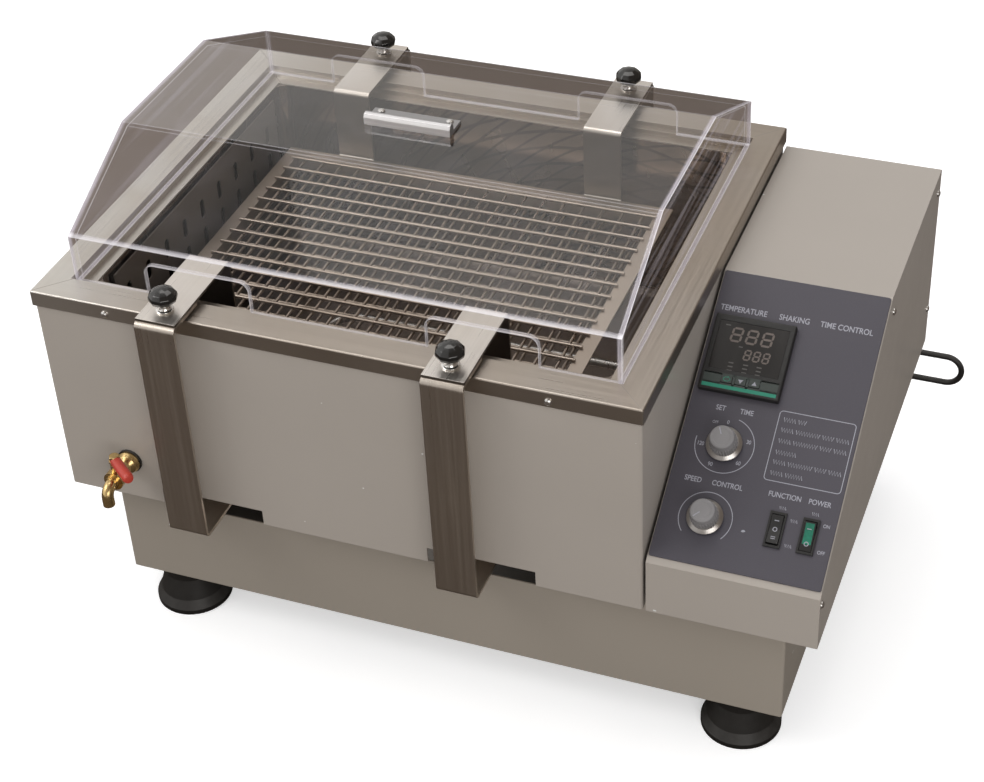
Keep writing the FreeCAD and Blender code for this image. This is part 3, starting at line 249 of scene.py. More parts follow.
def tank_steel(name, colour):
    """Drawn tank sheet: grainy on the floor; its walls are painted lighter towards the right end,
    and carry painted reflections of the wires as bent dark arcs.
    """
    shader = Shader(name)
    facing = shader.add("SeparateXYZ", {0: shader.add("NewGeometry").outputs["Normal"]})
    wall = shader.math("LESS_THAN", shader.math("ABSOLUTE", facing.outputs[2]), 0.5)
    swirl = shader.noise(16.0, 5.0, (1.0, 1.0, 0.5), distortion=3.0)
    marks = shader.math("MULTIPLY", shader.remap(swirl, 0.46, 0.54, 0.0, 1.0), wall)
    hairs = shader.noise(700.0, 3.0, (1.0, 1.0, 0.02))
    grain = shader.noise(900.0, 2.0)
    tone = shader.mix(marks, scaled(colour, 0.90), scaled(colour, 1.08))
    tone = shader.mix(shader.math("MULTIPLY", grain, 0.6), tone, scaled(colour, 0.4))
    low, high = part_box("inner_tank")
    # painted light: the walls are painted up to 1.9 times lighter towards the right end
    brighter = shader.remap(shader.axes()[0], low.x + 0.15, high.x - 0.12, 0.10, 0.75)
    wall_tone = shader.mix(brighter, tone, scaled(colour, 1.9))
    # painted reflections of the wires as dark arcs on the end walls
    wall_tone = shader.mix(painted_wire_reflections(shader, facing), wall_tone, scaled(colour, 0.30))
    tone = shader.mix(wall, tone, wall_tone)
    rough = shader.remap(swirl, 0.3, 0.7, 0.16, 0.30)
    rough = shader.math("MAXIMUM", rough, shader.math("SUBTRACT", 0.5, wall))
    height = shader.math("MULTIPLY", shader.noise(11.0, 1.0, distortion=0.5), wall)
    waves = shader.bump(height, 0.35, 3 * MM, shader.rounded(EDGE_RADIUS))
    normal = shader.bump(hairs, 0.10, 0.05 * MM, waves)
    return shader.finish(shader.add("BsdfPrincipled", {
        "Base Color": tone, "Metallic": 1.0, "Roughness": rough, "Normal": normal}))


ARC_FAMILIES = ((0.30, 0.10, 19 * MM), (0.44, 0.09, 15 * MM))


def painted_wire_reflections(shader, facing):
    """Painted reflections of the wires: families of soft dark rings on the front and back walls,
    fading in and out.
    """
    x, _, z = shader.axes()
    wander = shader.math("MULTIPLY", shader.noise(5.0, 1.0), 14 * MM)
    total = 0.0
    for middle_x, middle_z, pitch in ARC_FAMILIES:
        across = shader.math("POWER", shader.math("SUBTRACT", x, middle_x), 2.0)
        upward = shader.math("POWER", shader.math("SUBTRACT", z, middle_z), 2.0)
        reach = shader.math("SQRT", shader.math("ADD", across, upward))
        phase = shader.math("FRACT", shader.math("DIVIDE", shader.math("ADD", reach, wander),
                                                 pitch))
        off_line = shader.math("ABSOLUTE", shader.math("SUBTRACT", phase, 0.5))
        line = shader.remap(off_line, 0.05, 0.12, 1.0, 0.0)
        total = shader.math("ADD", line, total, clamp=True)
    fade = shader.remap(shader.noise(7.0, 1.0), 0.35, 0.6, 0.25, 1.0)
    end_wall = shader.math("GREATER_THAN", shader.math("ABSOLUTE", facing.outputs[1]), 0.7)
    return shader.math("MULTIPLY", shader.math("MULTIPLY", total, fade), end_wall)


def polished(name, colour, roughness=0.16, tarnish=0.25):
    """Turned or polished metal with patchy tarnish and fine lathe marks."""
    shader = Shader(name)
    patch = shader.noise(70.0, 4.0)
    tone = shader.mix(shader.remap(patch, 0.4, 0.75, 0.0, 1.0), colour,
                      scaled(colour, 1.0 - tarnish))
    rough = shader.remap(patch, 0.3, 0.7, roughness, roughness + 0.14)
    normal = shader.bump(shader.noise(2500.0, 2.0), 0.04, 0.05 * MM,
                         shader.rounded(EDGE_RADIUS / 2))
    return shader.finish(shader.add("BsdfPrincipled", {
        "Base Color": tone, "Metallic": 1.0, "Roughness": rough, "Normal": normal}))


def plastic(name, colour, roughness=0.45, grain=0.12, coat=0.0):
    """Moulded plastic: fine spark-eroded grain, and handling gloss in patches."""
    shader = Shader(name)
    tone = shader.mix(shader.noise(60.0, 4.0), scaled(colour, 0.86), scaled(colour, 1.12))
    rough = shader.remap(shader.noise(45.0, 3.0), 0.3, 0.7, roughness - 0.05, roughness + 0.08)
    normal = shader.bump(shader.noise(3000.0, 2.0), grain, 0.05 * MM,
                         shader.rounded(EDGE_RADIUS / 2))
    return shader.finish(shader.add("BsdfPrincipled", {
        "Base Color": tone, "Roughness": rough, "Normal": normal, "Coat Weight": coat,
        "Coat Roughness": 0.06}))


def rocker_lens(name, colour):
    """Green lens in the middle of a black rocker, darker towards its upper end."""
    shader = Shader(name)
    low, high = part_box("power_rocker")
    x, y, _ = shader.axes()
    aside = shader.math("ABSOLUTE", shader.math("SUBTRACT", x, (low.x + high.x) / 2))
    beyond = shader.math("ABSOLUTE", shader.math("SUBTRACT", y, (low.y + high.y) / 2))
    frame_share = shader.math(
        "MAXIMUM", shader.remap(aside, LENS_HALF_WIDTH, LENS_HALF_WIDTH + 0.5 * MM, 0.0, 1.0),
        shader.remap(beyond, LENS_HALF_LENGTH, LENS_HALF_LENGTH + 0.5 * MM, 0.0, 1.0))
    glow = shader.remap(y, low.y, high.y, 1.0, 0.35)
    flecks = shader.math("MULTIPLY", glow, shader.remap(shader.noise(350.0, 3.0), 0.3, 0.7,
                                                        0.6, 1.2))
    lens = shader.mix(flecks, scaled(colour, 0.35), colour)
    tone = shader.mix(frame_share, lens, BLACK)
    return shader.finish(shader.add("BsdfPrincipled", {
        "Base Color": tone, "Roughness": 0.22, "Coat Weight": 0.3,
        "Normal": shader.rounded(EDGE_RADIUS / 2)}))


def rubber(name, colour):
    """Moulded rubber: dull black, dusty on its upper slopes."""
    shader = Shader(name)
    facing = shader.add("SeparateXYZ", {0: shader.add("NewGeometry").outputs["Normal"]})
    dust = shader.math("MULTIPLY", shader.remap(facing.outputs[2], 0.2, 0.9, 0.0, 0.5),
                       shader.noise(120.0, 4.0), clamp=True)
    tone = shader.mix(dust, colour, (0.16, 0.15, 0.14))
    normal = shader.bump(shader.noise(700.0, 3.0), 0.25, 0.1 * MM)
    return shader.finish(shader.add("BsdfPrincipled", {
        "Base Color": tone, "Roughness": shader.remap(dust, 0.0, 0.4, 0.42, 0.75),
        "Normal": normal}))


def fibre(name, colour):
    """Mineral-wool block: matted fibres."""
    shader = Shader(name)
    strands = shader.noise(400.0, 6.0, (1.0, 1.0, 0.2), distortion=1.5)
    tone = shader.mix(strands, scaled(colour, 0.7), scaled(colour, 1.15))
    return shader.finish(shader.add("BsdfPrincipled", {
        "Base Color": tone, "Roughness": 0.95, "Normal": shader.bump(strands, 0.7, 1 * MM)}))


def acrylic(name):
    """Clear sheet: see-through faces that mirror at a slant, and edges, bends and ends painted
    pale as painted highlights with a faint painted glow.
    """
    shader = Shader(name)
    geometry = shader.add("NewGeometry")
    facing = shader.add("SeparateXYZ", {0: geometry.outputs["Normal"]})
    low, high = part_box("lid_shell")
    cut_faces = []
    for index, value in enumerate(shader.axes()[:2]):
        inset = shader.math("MINIMUM", shader.math("SUBTRACT", value, low[index]),
                            shader.math("SUBTRACT", high[index], value))
        in_sheet = shader.remap(inset, 0.45 * LID_SHEET, LID_SHEET, 1.0, 0.25)
        in_sheet = shader.math("MULTIPLY", in_sheet, shader.math("LESS_THAN", inset, LID_SHEET))
        aside = shader.math("ABSOLUTE", facing.outputs[index])
        cut_faces.append(shader.math("MULTIPLY", in_sheet, shader.math("LESS_THAN", aside, 0.5)))
    streaks = shader.remap(shader.noise(420.0, 4.0, (1.0, 0.12, 0.12)), 0.3, 0.7, 0.65, 1.0)
    # painted highlight: a streaky pale band on the sheet's cut end faces
    band = shader.math("MULTIPLY", cut_faces[0], shader.math("MULTIPLY", streaks, 0.60))
    # painted highlight along the edges and bends
    edge = shader.math("MAXIMUM", shader.edge_share(1.5 * MM, 28.0),
                       shader.math("MULTIPLY", cut_faces[1], 0.8))
    gable = shader.math("GREATER_THAN", shader.math("ABSOLUTE", facing.outputs[0]), 0.5)
    runs = shader.remap(shader.noise(110.0, 2.0, (1.0, 0.04, 1.0)), 0.52, 0.72, 0.0, 0.26)
    haze = shader.remap(shader.noise(25.0, 5.0, distortion=1.0), 0.45, 0.85, 0.0, 0.02)
    pale = shader.math("ADD", haze, shader.math("MULTIPLY", edge, 0.58))
    pale = shader.math("ADD", pale, shader.math("MULTIPLY", runs, gable))
    pale = shader.math("ADD", pale, band, clamp=True)
    gloss = shader.remap(facing.outputs[2], 0.85, 1.0, 0.18, 1.9)
    gloss = shader.math("MULTIPLY", gloss, shader.math("SUBTRACT", 1.0,
                                                       geometry.outputs["Backfacing"]))
    shine = shader.math("MULTIPLY", shader.add("Fresnel", {"IOR": 1.49}).outputs[0], gloss,
                        clamp=True)
    scratches = shader.bump(shader.noise(60.0, 2.0, (1.0, 0.2, 0.2)), 0.02, 0.1 * MM)
    clear = shader.add("BsdfTransparent", {"Color": (0.972, 0.968, 0.966)})
    mirror = shader.add("BsdfGlossy", {"Color": (1.0, 1.0, 1.0), "Roughness": 0.06,
                                       "Normal": scratches})
    sheet = shader.add("MixShader", {0: shine, 1: clear.outputs[0], 2: mirror.outputs[0]})
    # painted highlight colour for the edges, with a faint painted glow
    lit = shader.mix(edge, (0.58, 0.53, 0.60), (0.84, 0.82, 0.85))
    glow = shader.add("BsdfPrincipled", {"Base Color": lit, "Roughness": 0.25,
                                         "Emission Color": (0.86, 0.84, 0.88),
                                         "Emission Strength": 0.14})
    return shader.finish(shader.add("MixShader", {0: pale, 1: sheet.outputs[0],
                                                  2: glow.outputs[0]}))


def dark_glass(name):
    """Smoked window of the controller: nearly black, with wipe marks in its gloss."""
    shader = Shader(name)
    wipes = shader.noise(60.0, 4.0, (1.0, 0.2, 0.2))
    tone = shader.mix(wipes, (0.012, 0.011, 0.011), (0.022, 0.020, 0.019))
    return shader.finish(shader.add("BsdfPrincipled", {
        "Base Color": tone, "Roughness": shader.remap(wipes, 0.3, 0.7, 0.10, 0.24)}))


def slate_panel(name, colour):
    """Printed film on the panel: satin slate with a fine pale speckle."""
    shader = Shader(name)
    speckle = shader.remap(shader.noise(1500.0, 2.0), 0.60, 0.72, 0.0, 0.35)
    tone = shader.mix(shader.noise(8.0, 3.0), scaled(colour, 0.90), scaled(colour, 1.10))
    tone = shader.mix(speckle, tone, scaled(colour, 1.7))
    normal = shader.bump(shader.noise(1200.0, 2.0), 0.10, 0.05 * MM,
                         shader.rounded(EDGE_RADIUS))
    return shader.finish(shader.add("BsdfPrincipled", {
        "Base Color": tone, "Roughness": 0.5, "Normal": normal}))


def ink(name, colour, wear=0.35):
    """Screen print, thin and a little worn, so that it is never one flat tone."""
    shader = Shader(name)
    worn = shader.remap(shader.noise(900.0, 3.0), 0.45, 0.75, 0.0, wear)
    tone = shader.mix(worn, colour, scaled(colour, 0.45))
    return shader.finish(shader.add("BsdfPrincipled", {"Base Color": tone, "Roughness": 0.55}))


PAINT_COLOUR = (0.430, 0.389, 0.347)
# painted shade: the base takes a darker, browner copy of the casing paint, for the shade under the
# tank's overhang
SHADED_BASE_COLOUR = (0.356, 0.316, 0.268)
STEEL_COLOUR = (0.60, 0.55, 0.50)
BLACK = (0.010, 0.010, 0.010)

MATERIALS = {
    "casing_paint": paint("casing_paint", PAINT_COLOUR),
    "shaded_base_paint": paint("shaded_base_paint", SHADED_BASE_COLOUR),
    "works_paint": paint("works_paint", (0.16, 0.17, 0.18), 0.5),
    "rim_steel": rim_steel("rim_steel", scaled(STEEL_COLOUR, 0.88)),
    "strap_steel": brushed("strap_steel", STEEL_COLOUR, (1, 2), 0.36),
    "hanger_steel": hanger_steel("hanger_steel", STEEL_COLOUR),
    "tray_steel": brushed("tray_steel", (0.54, 0.475, 0.42), (0, 1), 0.42),
    "wire_steel": brushed("wire_steel", (0.44, 0.385, 0.34), (0, 1), 0.32, 0.06),
    # painted shade: the tank and baffle steels are darker copies of the steel colour, for the
    # shade down inside the tank
    "tank_steel": tank_steel("tank_steel", (0.30, 0.255, 0.225)),
    "baffle_steel": brushed("baffle_steel", (0.155, 0.135, 0.12), (1, 2), 0.5, 0.3, metallic=0.5),
    "machined_steel": brushed("machined_steel", (0.55, 0.55, 0.55), 2, 0.3),
    "screw_steel": polished("screw_steel", (0.72, 0.71, 0.70), 0.2, 0.15),
    "handle_metal": handle_metal("handle_metal", (0.95, 0.94, 0.96)),
    "satin_aluminium": brushed("satin_aluminium", (0.50, 0.49, 0.49), (0, 1), 0.34, 0.06, 0.04),
    "cast_aluminium": brushed("cast_aluminium", (0.62, 0.62, 0.63), 0, 0.45),
    "chrome": polished("chrome", (0.84, 0.83, 0.81), 0.10, 0.10),
    "brass": polished("brass", (0.78, 0.57, 0.27), 0.18, 0.28),
    "foot_rubber": rubber("foot_rubber", (0.012, 0.011, 0.010)),
    "cord_rubber": rubber("cord_rubber", (0.018, 0.017, 0.016)),
    "insulation": fibre("insulation", (0.62, 0.56, 0.40)),
    "acrylic": acrylic("acrylic"),
    "black_gloss": plastic("black_gloss", (0.008, 0.008, 0.008), 0.16, 0.02, 0.6),
    "black_plastic": plastic("black_plastic", (0.014, 0.014, 0.014), 0.42),
    "window": dark_glass("window"),
    "panel_slate": slate_panel("panel_slate", (0.068, 0.063, 0.079)),
    "key_band": plastic("key_band", (0.040, 0.052, 0.047), 0.45),
    "rocker_green": rocker_lens("rocker_green", (0.012, 0.22, 0.135)),
    "red_sleeve": plastic("red_sleeve", (0.55, 0.055, 0.035), 0.34, 0.06, 0.15),
    "board_green": plastic("board_green", (0.02, 0.13, 0.05), 0.4),
    "knob_grey": plastic("knob_grey", (0.24, 0.232, 0.235), 0.42, 0.06),
    "white_ink": ink("white_ink", (0.38, 0.38, 0.43)),
    "digit_grey": ink("digit_grey", (0.150, 0.122, 0.108), 0.4),
    "label_grey": ink("label_grey", (0.10, 0.095, 0.09), 0.2),
    "stripe_green": ink("stripe_green", (0.02, 0.24, 0.155), 0.15),
}

NODE_MATERIALS = {
    "casing_paint": ["tank_casing", "control_box_shell"],
    "shaded_base_paint": ["base_housing"],
    "works_paint": ["bottom_plate", "motor", "crank_housing", "idler_housings"],
    "rim_steel": ["rim_frame"],
    "strap_steel": ["left_arm", "right_arm"],
    "hanger_steel": ["front_left_hanger", "rear_left_hanger", "front_right_hanger",
                     "rear_right_hanger"],
    "tray_steel": ["tray_frame"],
    "wire_steel": ["upper_grid", "lower_grid"],
    "tank_steel": ["inner_tank", "drain_pipe"],
    "baffle_steel": ["slotted_baffle"],
    "machined_steel": ["heater_element", "temperature_probe", "crank_shaft", "crank_arm",
                       "idler_crank_front", "idler_crank_rear", "timer_mechanism",
                       "speed_control"],
    "screw_steel": ["case_screws", "lid_screws"],
    "handle_metal": ["lid_handle"],
    "cast_aluminium": ["crank_pulley", "motor_pulley", "shaking_frame"],
    "brass": ["tap_body"],
    "foot_rubber": ["feet", "tap_gasket", "drive_belt"],
    "cord_rubber": ["power_cord"],
    "insulation": ["tank_insulation"],
    "acrylic": ["lid_shell"],
    "black_plastic": ["controller_case", "function_switch_body", "power_switch_body",
                      "function_rocker", "cord_gland"],
    "window": ["controller_window"],
    "panel_slate": ["control_panel"],
    "key_band": ["key_set", "key_down", "key_up"],
    "rocker_green": ["power_rocker"],
    "board_green": ["driver_board"],
}


def dress_cad_nodes():
    """Give every CAD node its finish."""
    for material, names in NODE_MATERIALS.items():
        for name in names:
            node = frame["nodes"][name]
            for slot in node.material_slots:
                slot.material = MATERIALS[material]


# ---------------------------------------------------------------- mesh helpers


def add_piece(name, mesh, material, body):
    """Link a finished mesh as a piece that rides on a CAD body."""
    piece = bpy.data.objects.new(name, mesh)
    bpy.context.scene.collection.objects.link(piece)
    mesh.materials.clear()
    mesh.materials.append(MATERIALS[material])
    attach(piece, body)
    return piece


def mesh_from(work, name, smooth_angle=None):
    """Turn a bmesh into a mesh; faces are smooth where they meet below the angle."""
    bmesh.ops.recalc_face_normals(work, faces=work.faces)
    if smooth_angle is not None:
        limit = math.radians(smooth_angle)
        for face in work.faces:
            face.smooth = True
        for edge in work.edges:
            edge.smooth = len(edge.link_faces) == 2 and edge.calc_face_angle(0.0) < limit
    mesh = bpy.data.meshes.new(name)
    work.to_mesh(mesh)
    work.free()
    return mesh


def lathe(work, profile, sides, transform, wobble=None):
    """Turn (radius, height) pairs in millimetres about Z; wobble changes a radius by angle."""
    rings = []
    for radius, height in profile:
        ring = []
        for index in range(sides):
            angle = 2 * math.pi * index / sides
            reach = radius + (wobble(angle, height) if wobble else 0.0)
            point = Vector((reach * math.cos(angle), reach * math.sin(angle), height)) * MM
            ring.append(work.verts.new(transform @ point))
        rings.append(ring)
    for low, high in zip(rings, rings[1:]):
        for index in range(sides):
            after = (index + 1) % sides
            work.faces.new((low[index], low[after], high[after], high[index]))
    work.faces.new(rings[0][::-1])
    work.faces.new(rings[-1])


def ribbon(work, points, width, transform, closed=False):
    """A flat line of a given width through 2-D points in millimetres."""
    count = len(points)
    flat = [Vector(point) for point in points]
    pairs = []
    for index, point in enumerate(flat):
        before = flat[index - 1] if closed or index else point
        after = flat[(index + 1) % count] if closed or index < count - 1 else point
        direction = (after - before).normalized()
        aside = Vector((-direction.y, direction.x)) * width / 2
        pairs.append([work.verts.new(transform @ (Vector((side.x, side.y, 0)) * MM))
                      for side in (point + aside, point - aside)])
    spans = list(zip(pairs, pairs[1:]))
    if closed:
        spans.append((pairs[-1], pairs[0]))
    for (left, right), (next_left, next_right) in spans:
        work.faces.new((left, right, next_right, next_left))


def patch(work, points, transform):
    """A flat filled shape through 2-D points in millimetres."""
    work.faces.new([work.verts.new(transform @ (Vector((x, y, 0)) * MM)) for x, y in points])


def bar(work, left, right, middle, height, transform):
    low, high = middle - height / 2, middle + height / 2
    patch(work, [(left, low), (right, low), (right, high), (left, high)], transform)


def arc_points(middle, radius, start, end, steps):
    """Points along an arc; angles in degrees, counter-clockwise from the right."""
    angles = [math.radians(start + (end - start) * index / steps) for index in range(steps + 1)]
    return [(middle[0] + radius * math.cos(a), middle[1] + radius * math.sin(a)) for a in angles]


def lettering(work, text, size, middle, transform, narrow=0.84):
    """Plain sans-serif characters, centred on a point, added to the mesh."""
    curve = bpy.data.curves.new("lettering", "FONT")
    curve.body = text
    curve.size = size
    curve.offset = 0.014 * size
    curve.align_x = "CENTER"
    curve.align_y = "CENTER"
    holder = bpy.data.objects.new("lettering", curve)
    bpy.context.scene.collection.objects.link(holder)
    bpy.context.view_layer.update()
    outline = holder.to_mesh()
    verts = [work.verts.new(transform @ (Vector((middle[0] + narrow * v.co.x,
                                                 middle[1] + v.co.y, 0)) * MM))
             for v in outline.vertices]
    for polygon in outline.polygons:
        work.faces.new([verts[index] for index in polygon.vertices])
    holder.to_mesh_clear()
    bpy.data.objects.remove(holder)
    bpy.data.curves.remove(curve)


# ---------------------------------------------------------------- the panel's own frame

JOINTS = {joint["name"]: joint for joint in frame["joints"]}
TIMER_AT = (40.3, -162.5)
SPEED_AT = (40.3, -229.5)


def panel_matrix():
    """Panel frame: x right, y up the slope and z out, from the panel's top left corner."""
    outward = -Vector(JOINTS["timer_turn"]["axis"])
    right = Vector((1, 0, 0))
    upward = outward.cross(right)
    corner = Vector(JOINTS["timer_turn"]["pos_m"])
    corner -= (right * TIMER_AT[0] + upward * TIMER_AT[1]) * MM
    return Matrix.Translation(corner) @ Matrix((right, upward, outward)).transposed().to_4x4()


PANEL = panel_matrix()


def on_panel(x=0.0, y=0.0, out=0.0):
    """Place on the panel; x, y and out are in millimetres."""
    return PANEL @ Matrix.Translation(Vector((x, y, out)) * MM)


PRINT_HEIGHT = 0.06
LINE = 0.7
STROKE = 0.62
CAPTION_SIZE = 6.6
TITLE_SIZE = 7.6
DIAL_NUMBER_SIZE = 5.0
SWITCH_MARK_SIZE = 4.4
TIMER_OFF_SIZE = 3.6
SMALL_PRINT = 3.9
SIDE_PRINT = 2.8
TITLE_ROW = -37.0
TIMER_CAPTION_ROW = -130.0
SPEED_CAPTION_ROW = -197.7
SWITCH_CAPTION_ROW = -197.0
TIMER_RING, TIMER_NUMBER_RING, SPEED_RING = 25.6, 20.8, 23.0
TIMER_SWEEP = (75.0, -188.0)
SPEED_SWEEP = (222.0, -42.0)


def mock_words(work, left, right, middle, height, transform, gaps=()):
    """Stands for a line of small print: one plain zigzag per word."""
    half_pitch = height * 0.30
    starts = [left] + [gap + half_pitch for gap in gaps]
    ends = [gap - half_pitch for gap in gaps] + [right]
    for start, end in zip(starts, ends):
        turns = max(3, round((end - start) / half_pitch))
        points = [(start + (end - start) * turn / turns,
                   middle + height / 2 * (-1 if turn % 2 else 1)) for turn in range(turns + 1)]
        ribbon(work, points, STROKE, transform)


def make_panel_print():
    """Plain captions, dial rings with numbers, and a box of zigzags in place of small print."""
    work = bmesh.new()
    face = on_panel(out=PRINT_HEIGHT)
    for text, x in (("TEMPERATURE", 26.5), ("SHAKING", 72.0), ("TIME CONTROL", 118.0)):
        lettering(work, text, TITLE_SIZE, (x, TITLE_ROW), face)
    for text, x, y in (("SET", 29.0, TIMER_CAPTION_ROW), ("TIME", 52.0, TIMER_CAPTION_ROW),
                       ("SPEED", 21.5, SPEED_CAPTION_ROW), ("CONTROL", 51.5, SPEED_CAPTION_ROW),
                       ("FUNCTION", 101.5, SWITCH_CAPTION_ROW),
                       ("POWER", 131.5, SWITCH_CAPTION_ROW)):
        lettering(work, text, CAPTION_SIZE, (x, y), face)
    ribbon(work, arc_points(TIMER_AT, TIMER_RING, *TIMER_SWEEP, 60), LINE, face)
    for text, angle in (("0", 95.0), ("30", 18.0), ("60", -42.0), ("90", -112.0), ("120", 187.0)):
        spot = arc_points(TIMER_AT, TIMER_NUMBER_RING, angle, angle, 1)[0]
        lettering(work, text, DIAL_NUMBER_SIZE, spot, face)
    ribbon(work, arc_points(SPEED_AT, SPEED_RING, *SPEED_SWEEP, 60), LINE, face)
    rounded_box(work, (80.0, -122.0), (146.0, -185.5), 3.0, face)
    for middle, right in ((-129.5, 104.0), (-139.0, 143.0), (-149.0, 143.0), (-159.5, 102.0),
                          (-168.5, 143.0), (-178.5, 112.0)):
        mock_words(work, 84.5, right, middle, SMALL_PRINT, face,
                   gaps=tuple(gap for gap in (96.0, 119.0, 131.0) if gap < right - 6.0))
    for x, y in ((102.2, -207.4), (130.1, -207.0), (114.0, -216.8), (114.0, -239.0)):
        mock_words(work, x - SIDE_PRINT, x + SIDE_PRINT, y, SIDE_PRINT, face)
    patch(work, [(72.6, -235.0), (73.2, -233.4), (75.0, -233.0), (76.4, -234.2), (74.6, -235.2)],
          face)
    lettering(work, "OFF", TIMER_OFF_SIZE, (27.5, -143.5), face)
    lettering(work, "ON", SWITCH_MARK_SIZE, (141.5, -215.7), face)
    lettering(work, "OFF", SWITCH_MARK_SIZE, (142.0, -239.0), face)
    add_piece("panel_print", mesh_from(work, "panel_print"), "white_ink", "housing")


def rounded_box(work, upper_left, lower_right, radius, transform):
    (left, top), (right, bottom) = upper_left, lower_right
    corners = [((right - radius, top - radius), 0), ((left + radius, top - radius), 90),
               ((left + radius, bottom + radius), 180), ((right - radius, bottom + radius), 270)]
    points = []
    for middle, start in corners:
        points += arc_points(middle, radius, start, start + 90, 6)
    ribbon(work, points, LINE, transform, closed=True)


# ---------------------------------------------------------------- controller face

GLASS_TOP = 5.72
BEZEL_TOP = 6.05
KEY_TOP = 6.8
KEY_ROW = -105.5
BAND_LEFT, BAND_RIGHT = 8.0, 74.0
BIG_DIGIT = (8.4, 12.2, 1.9)
SMALL_DIGIT = (5.0, 9.0, 1.4)
SEGMENTS = {"a": (0, 2, 1, 2), "b": (1, 1, 1, 2), "c": (1, 0, 1, 1), "d": (0, 0, 1, 0),
            "e": (0, 0, 0, 1), "f": (0, 1, 0, 2), "g": (0, 1, 1, 1)}


def seven_segments(work, corner, width, height, thickness, transform):
    """One figure eight of a seven-segment display, slanted a little."""
    for x0, y0, x1, y1 in SEGMENTS.values():
        start = Vector((x0 * width, y0 * height / 2))
        end = Vector((x1 * width, y1 * height / 2))
        along = (end - start).normalized()
        aside = Vector((-along.y, along.x)) * thickness / 2
        start += along * thickness * 0.62
        end -= along * thickness * 0.62
        tip = along * thickness / 2
        shape = [start - tip, start + aside, end + aside, end + tip, end - aside, start - aside]
        patch(work, [(corner[0] + p.x + 0.10 * p.y, corner[1] + p.y) for p in shape], transform)


def make_controller_face():
    glass = on_panel(out=GLASS_TOP)
    work = bmesh.new()
    for index in range(3):
        seven_segments(work, (22.5 + 13.6 * index, -69.0), *BIG_DIGIT, glass)
        seven_segments(work, (37.8 + 8.3 * index, -84.6), *SMALL_DIGIT, glass)
    add_piece("display_digits", mesh_from(work, "display_digits"), "digit_grey", "housing")

    work = bmesh.new()
    for column in (28.5, 41.5, 53.5):
        for rank in range(3):
            bar(work, column - 2.2, column + 2.2, -89.5 - 3.6 * rank, 1.1, glass)
    bar(work, 15.5, 20.0, -55.0, 1.1, glass)
    bar(work, 31.5, 35.0, -73.5, 1.0, glass)
    add_piece("display_labels", mesh_from(work, "display_labels"), "label_grey", "housing")
    make_key_band()


def make_key_band():
    """Grey-green strip round the three keys, with a bright green stripe below it."""
    work = bmesh.new()
    band = on_panel(out=BEZEL_TOP)
    edges = [BAND_LEFT] + [value for key in ("key_set", "key_down", "key_up")
                           for value in key_span(key)] + [BAND_RIGHT]
    for left, right in zip(edges[::2], edges[1::2]):
        bar(work, left, right, -105.6, 10.4, band)
    for low, high in ((-110.8, -109.2), (-102.0, -100.4)):
        bar(work, BAND_LEFT, BAND_RIGHT, (low + high) / 2, high - low, band)
    add_piece("key_band_film", mesh_from(work, "key_band_film"), "key_band", "housing")
    work = bmesh.new()
    bar(work, BAND_LEFT, BAND_RIGHT, -112.7, 3.4, band)
    add_piece("controller_stripe", mesh_from(work, "controller_stripe"), "stripe_green",
              "housing")


def key_span(node):
    """Left and right edges of a key's pocket, in panel millimetres."""
    low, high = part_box(node)
    origin = PANEL.translation.x
    return (low.x - origin) / MM - 0.3, (high.x - origin) / MM + 0.3


def make_key_icons():
    """A loop, a downward and an upward arrow, each riding on its own key."""
    for key, body in (("key_set", "set_key"), ("key_down", "down_key"), ("key_up", "up_key")):
        left, right = key_span(key)
        face = on_panel((left + right) / 2, KEY_ROW, KEY_TOP + PRINT_HEIGHT)
        work = bmesh.new()
        if key == "key_set":
            loop = [(1.5 * x, y) for x, y in arc_points((0, 0), 1.9, 70.0, 395.0, 28)]
            ribbon(work, loop, 0.6, face)
            patch(work, [(0.4, 2.9), (2.2, 2.0), (0.5, 1.1)], face)
        else:
            turn = 1.0 if key == "key_up" else -1.0
            patch(work, [(-2.3, -1.5 * turn), (2.3, -1.5 * turn), (0.9, 0.4 * turn),
                         (0.0, 2.3 * turn), (-0.9, 0.4 * turn)], face)
        icon_ink = "stripe_green" if key == "key_set" else "white_ink"
        add_piece(key + "_icon", mesh_from(work, key + "_icon"), icon_ink, body)


# ---------------------------------------------------------------- rockers


def make_rocker_marks():
    """White position marks on the two rockers, laid on their dished faces."""
    for name, body, tilt, marks in (
            ("function", "function_switch_rocker", 0.0, ((7.6, "I"), (0.0, "O"), (-7.6, "II"))),
            ("power", "power_switch_rocker", 8.0, ((6.4, "I"), (-6.4, "O")))):
        joint = JOINTS[name + "_rock"]
        turn = Matrix.Rotation(math.radians(tilt), 4, "X")
        seat = Matrix.Translation(Vector(joint["pos_m"])) @ PANEL.to_3x3().to_4x4() @ turn
        work = bmesh.new()
        for along, mark in marks:
            lean = math.copysign(math.atan2(1.3, 12.5), along) if along else 0.0
            height = 2.9 + 1.3 * abs(along) / 12.5 + (0.12 if along else 0.30)
            face = seat @ Matrix.Translation(Vector((0, along, height)) * MM)
            face = face @ Matrix.Rotation(lean, 4, "X")
            if mark == "O":
                ribbon(work, arc_points((0, 0), 1.7, 0.0, 345.0, 24), 0.7, face, closed=True)
            else:
                for index in range(len(mark)):
                    offset = (index - (len(mark) - 1) / 2) * 1.7
                    bar(work, -1.9, 1.9, offset, 0.7, face)
        add_piece(name + "_rocker_marks", mesh_from(work, name + "_rocker_marks"), "white_ink",
                  body)


# ---------------------------------------------------------------- dials

FLUTES = 28
FLUTE_DEPTH = 0.55
FLUTES_FROM = 5.4
FLUTES_TO = 13.5
POINTER_HEIGHT = 20.24


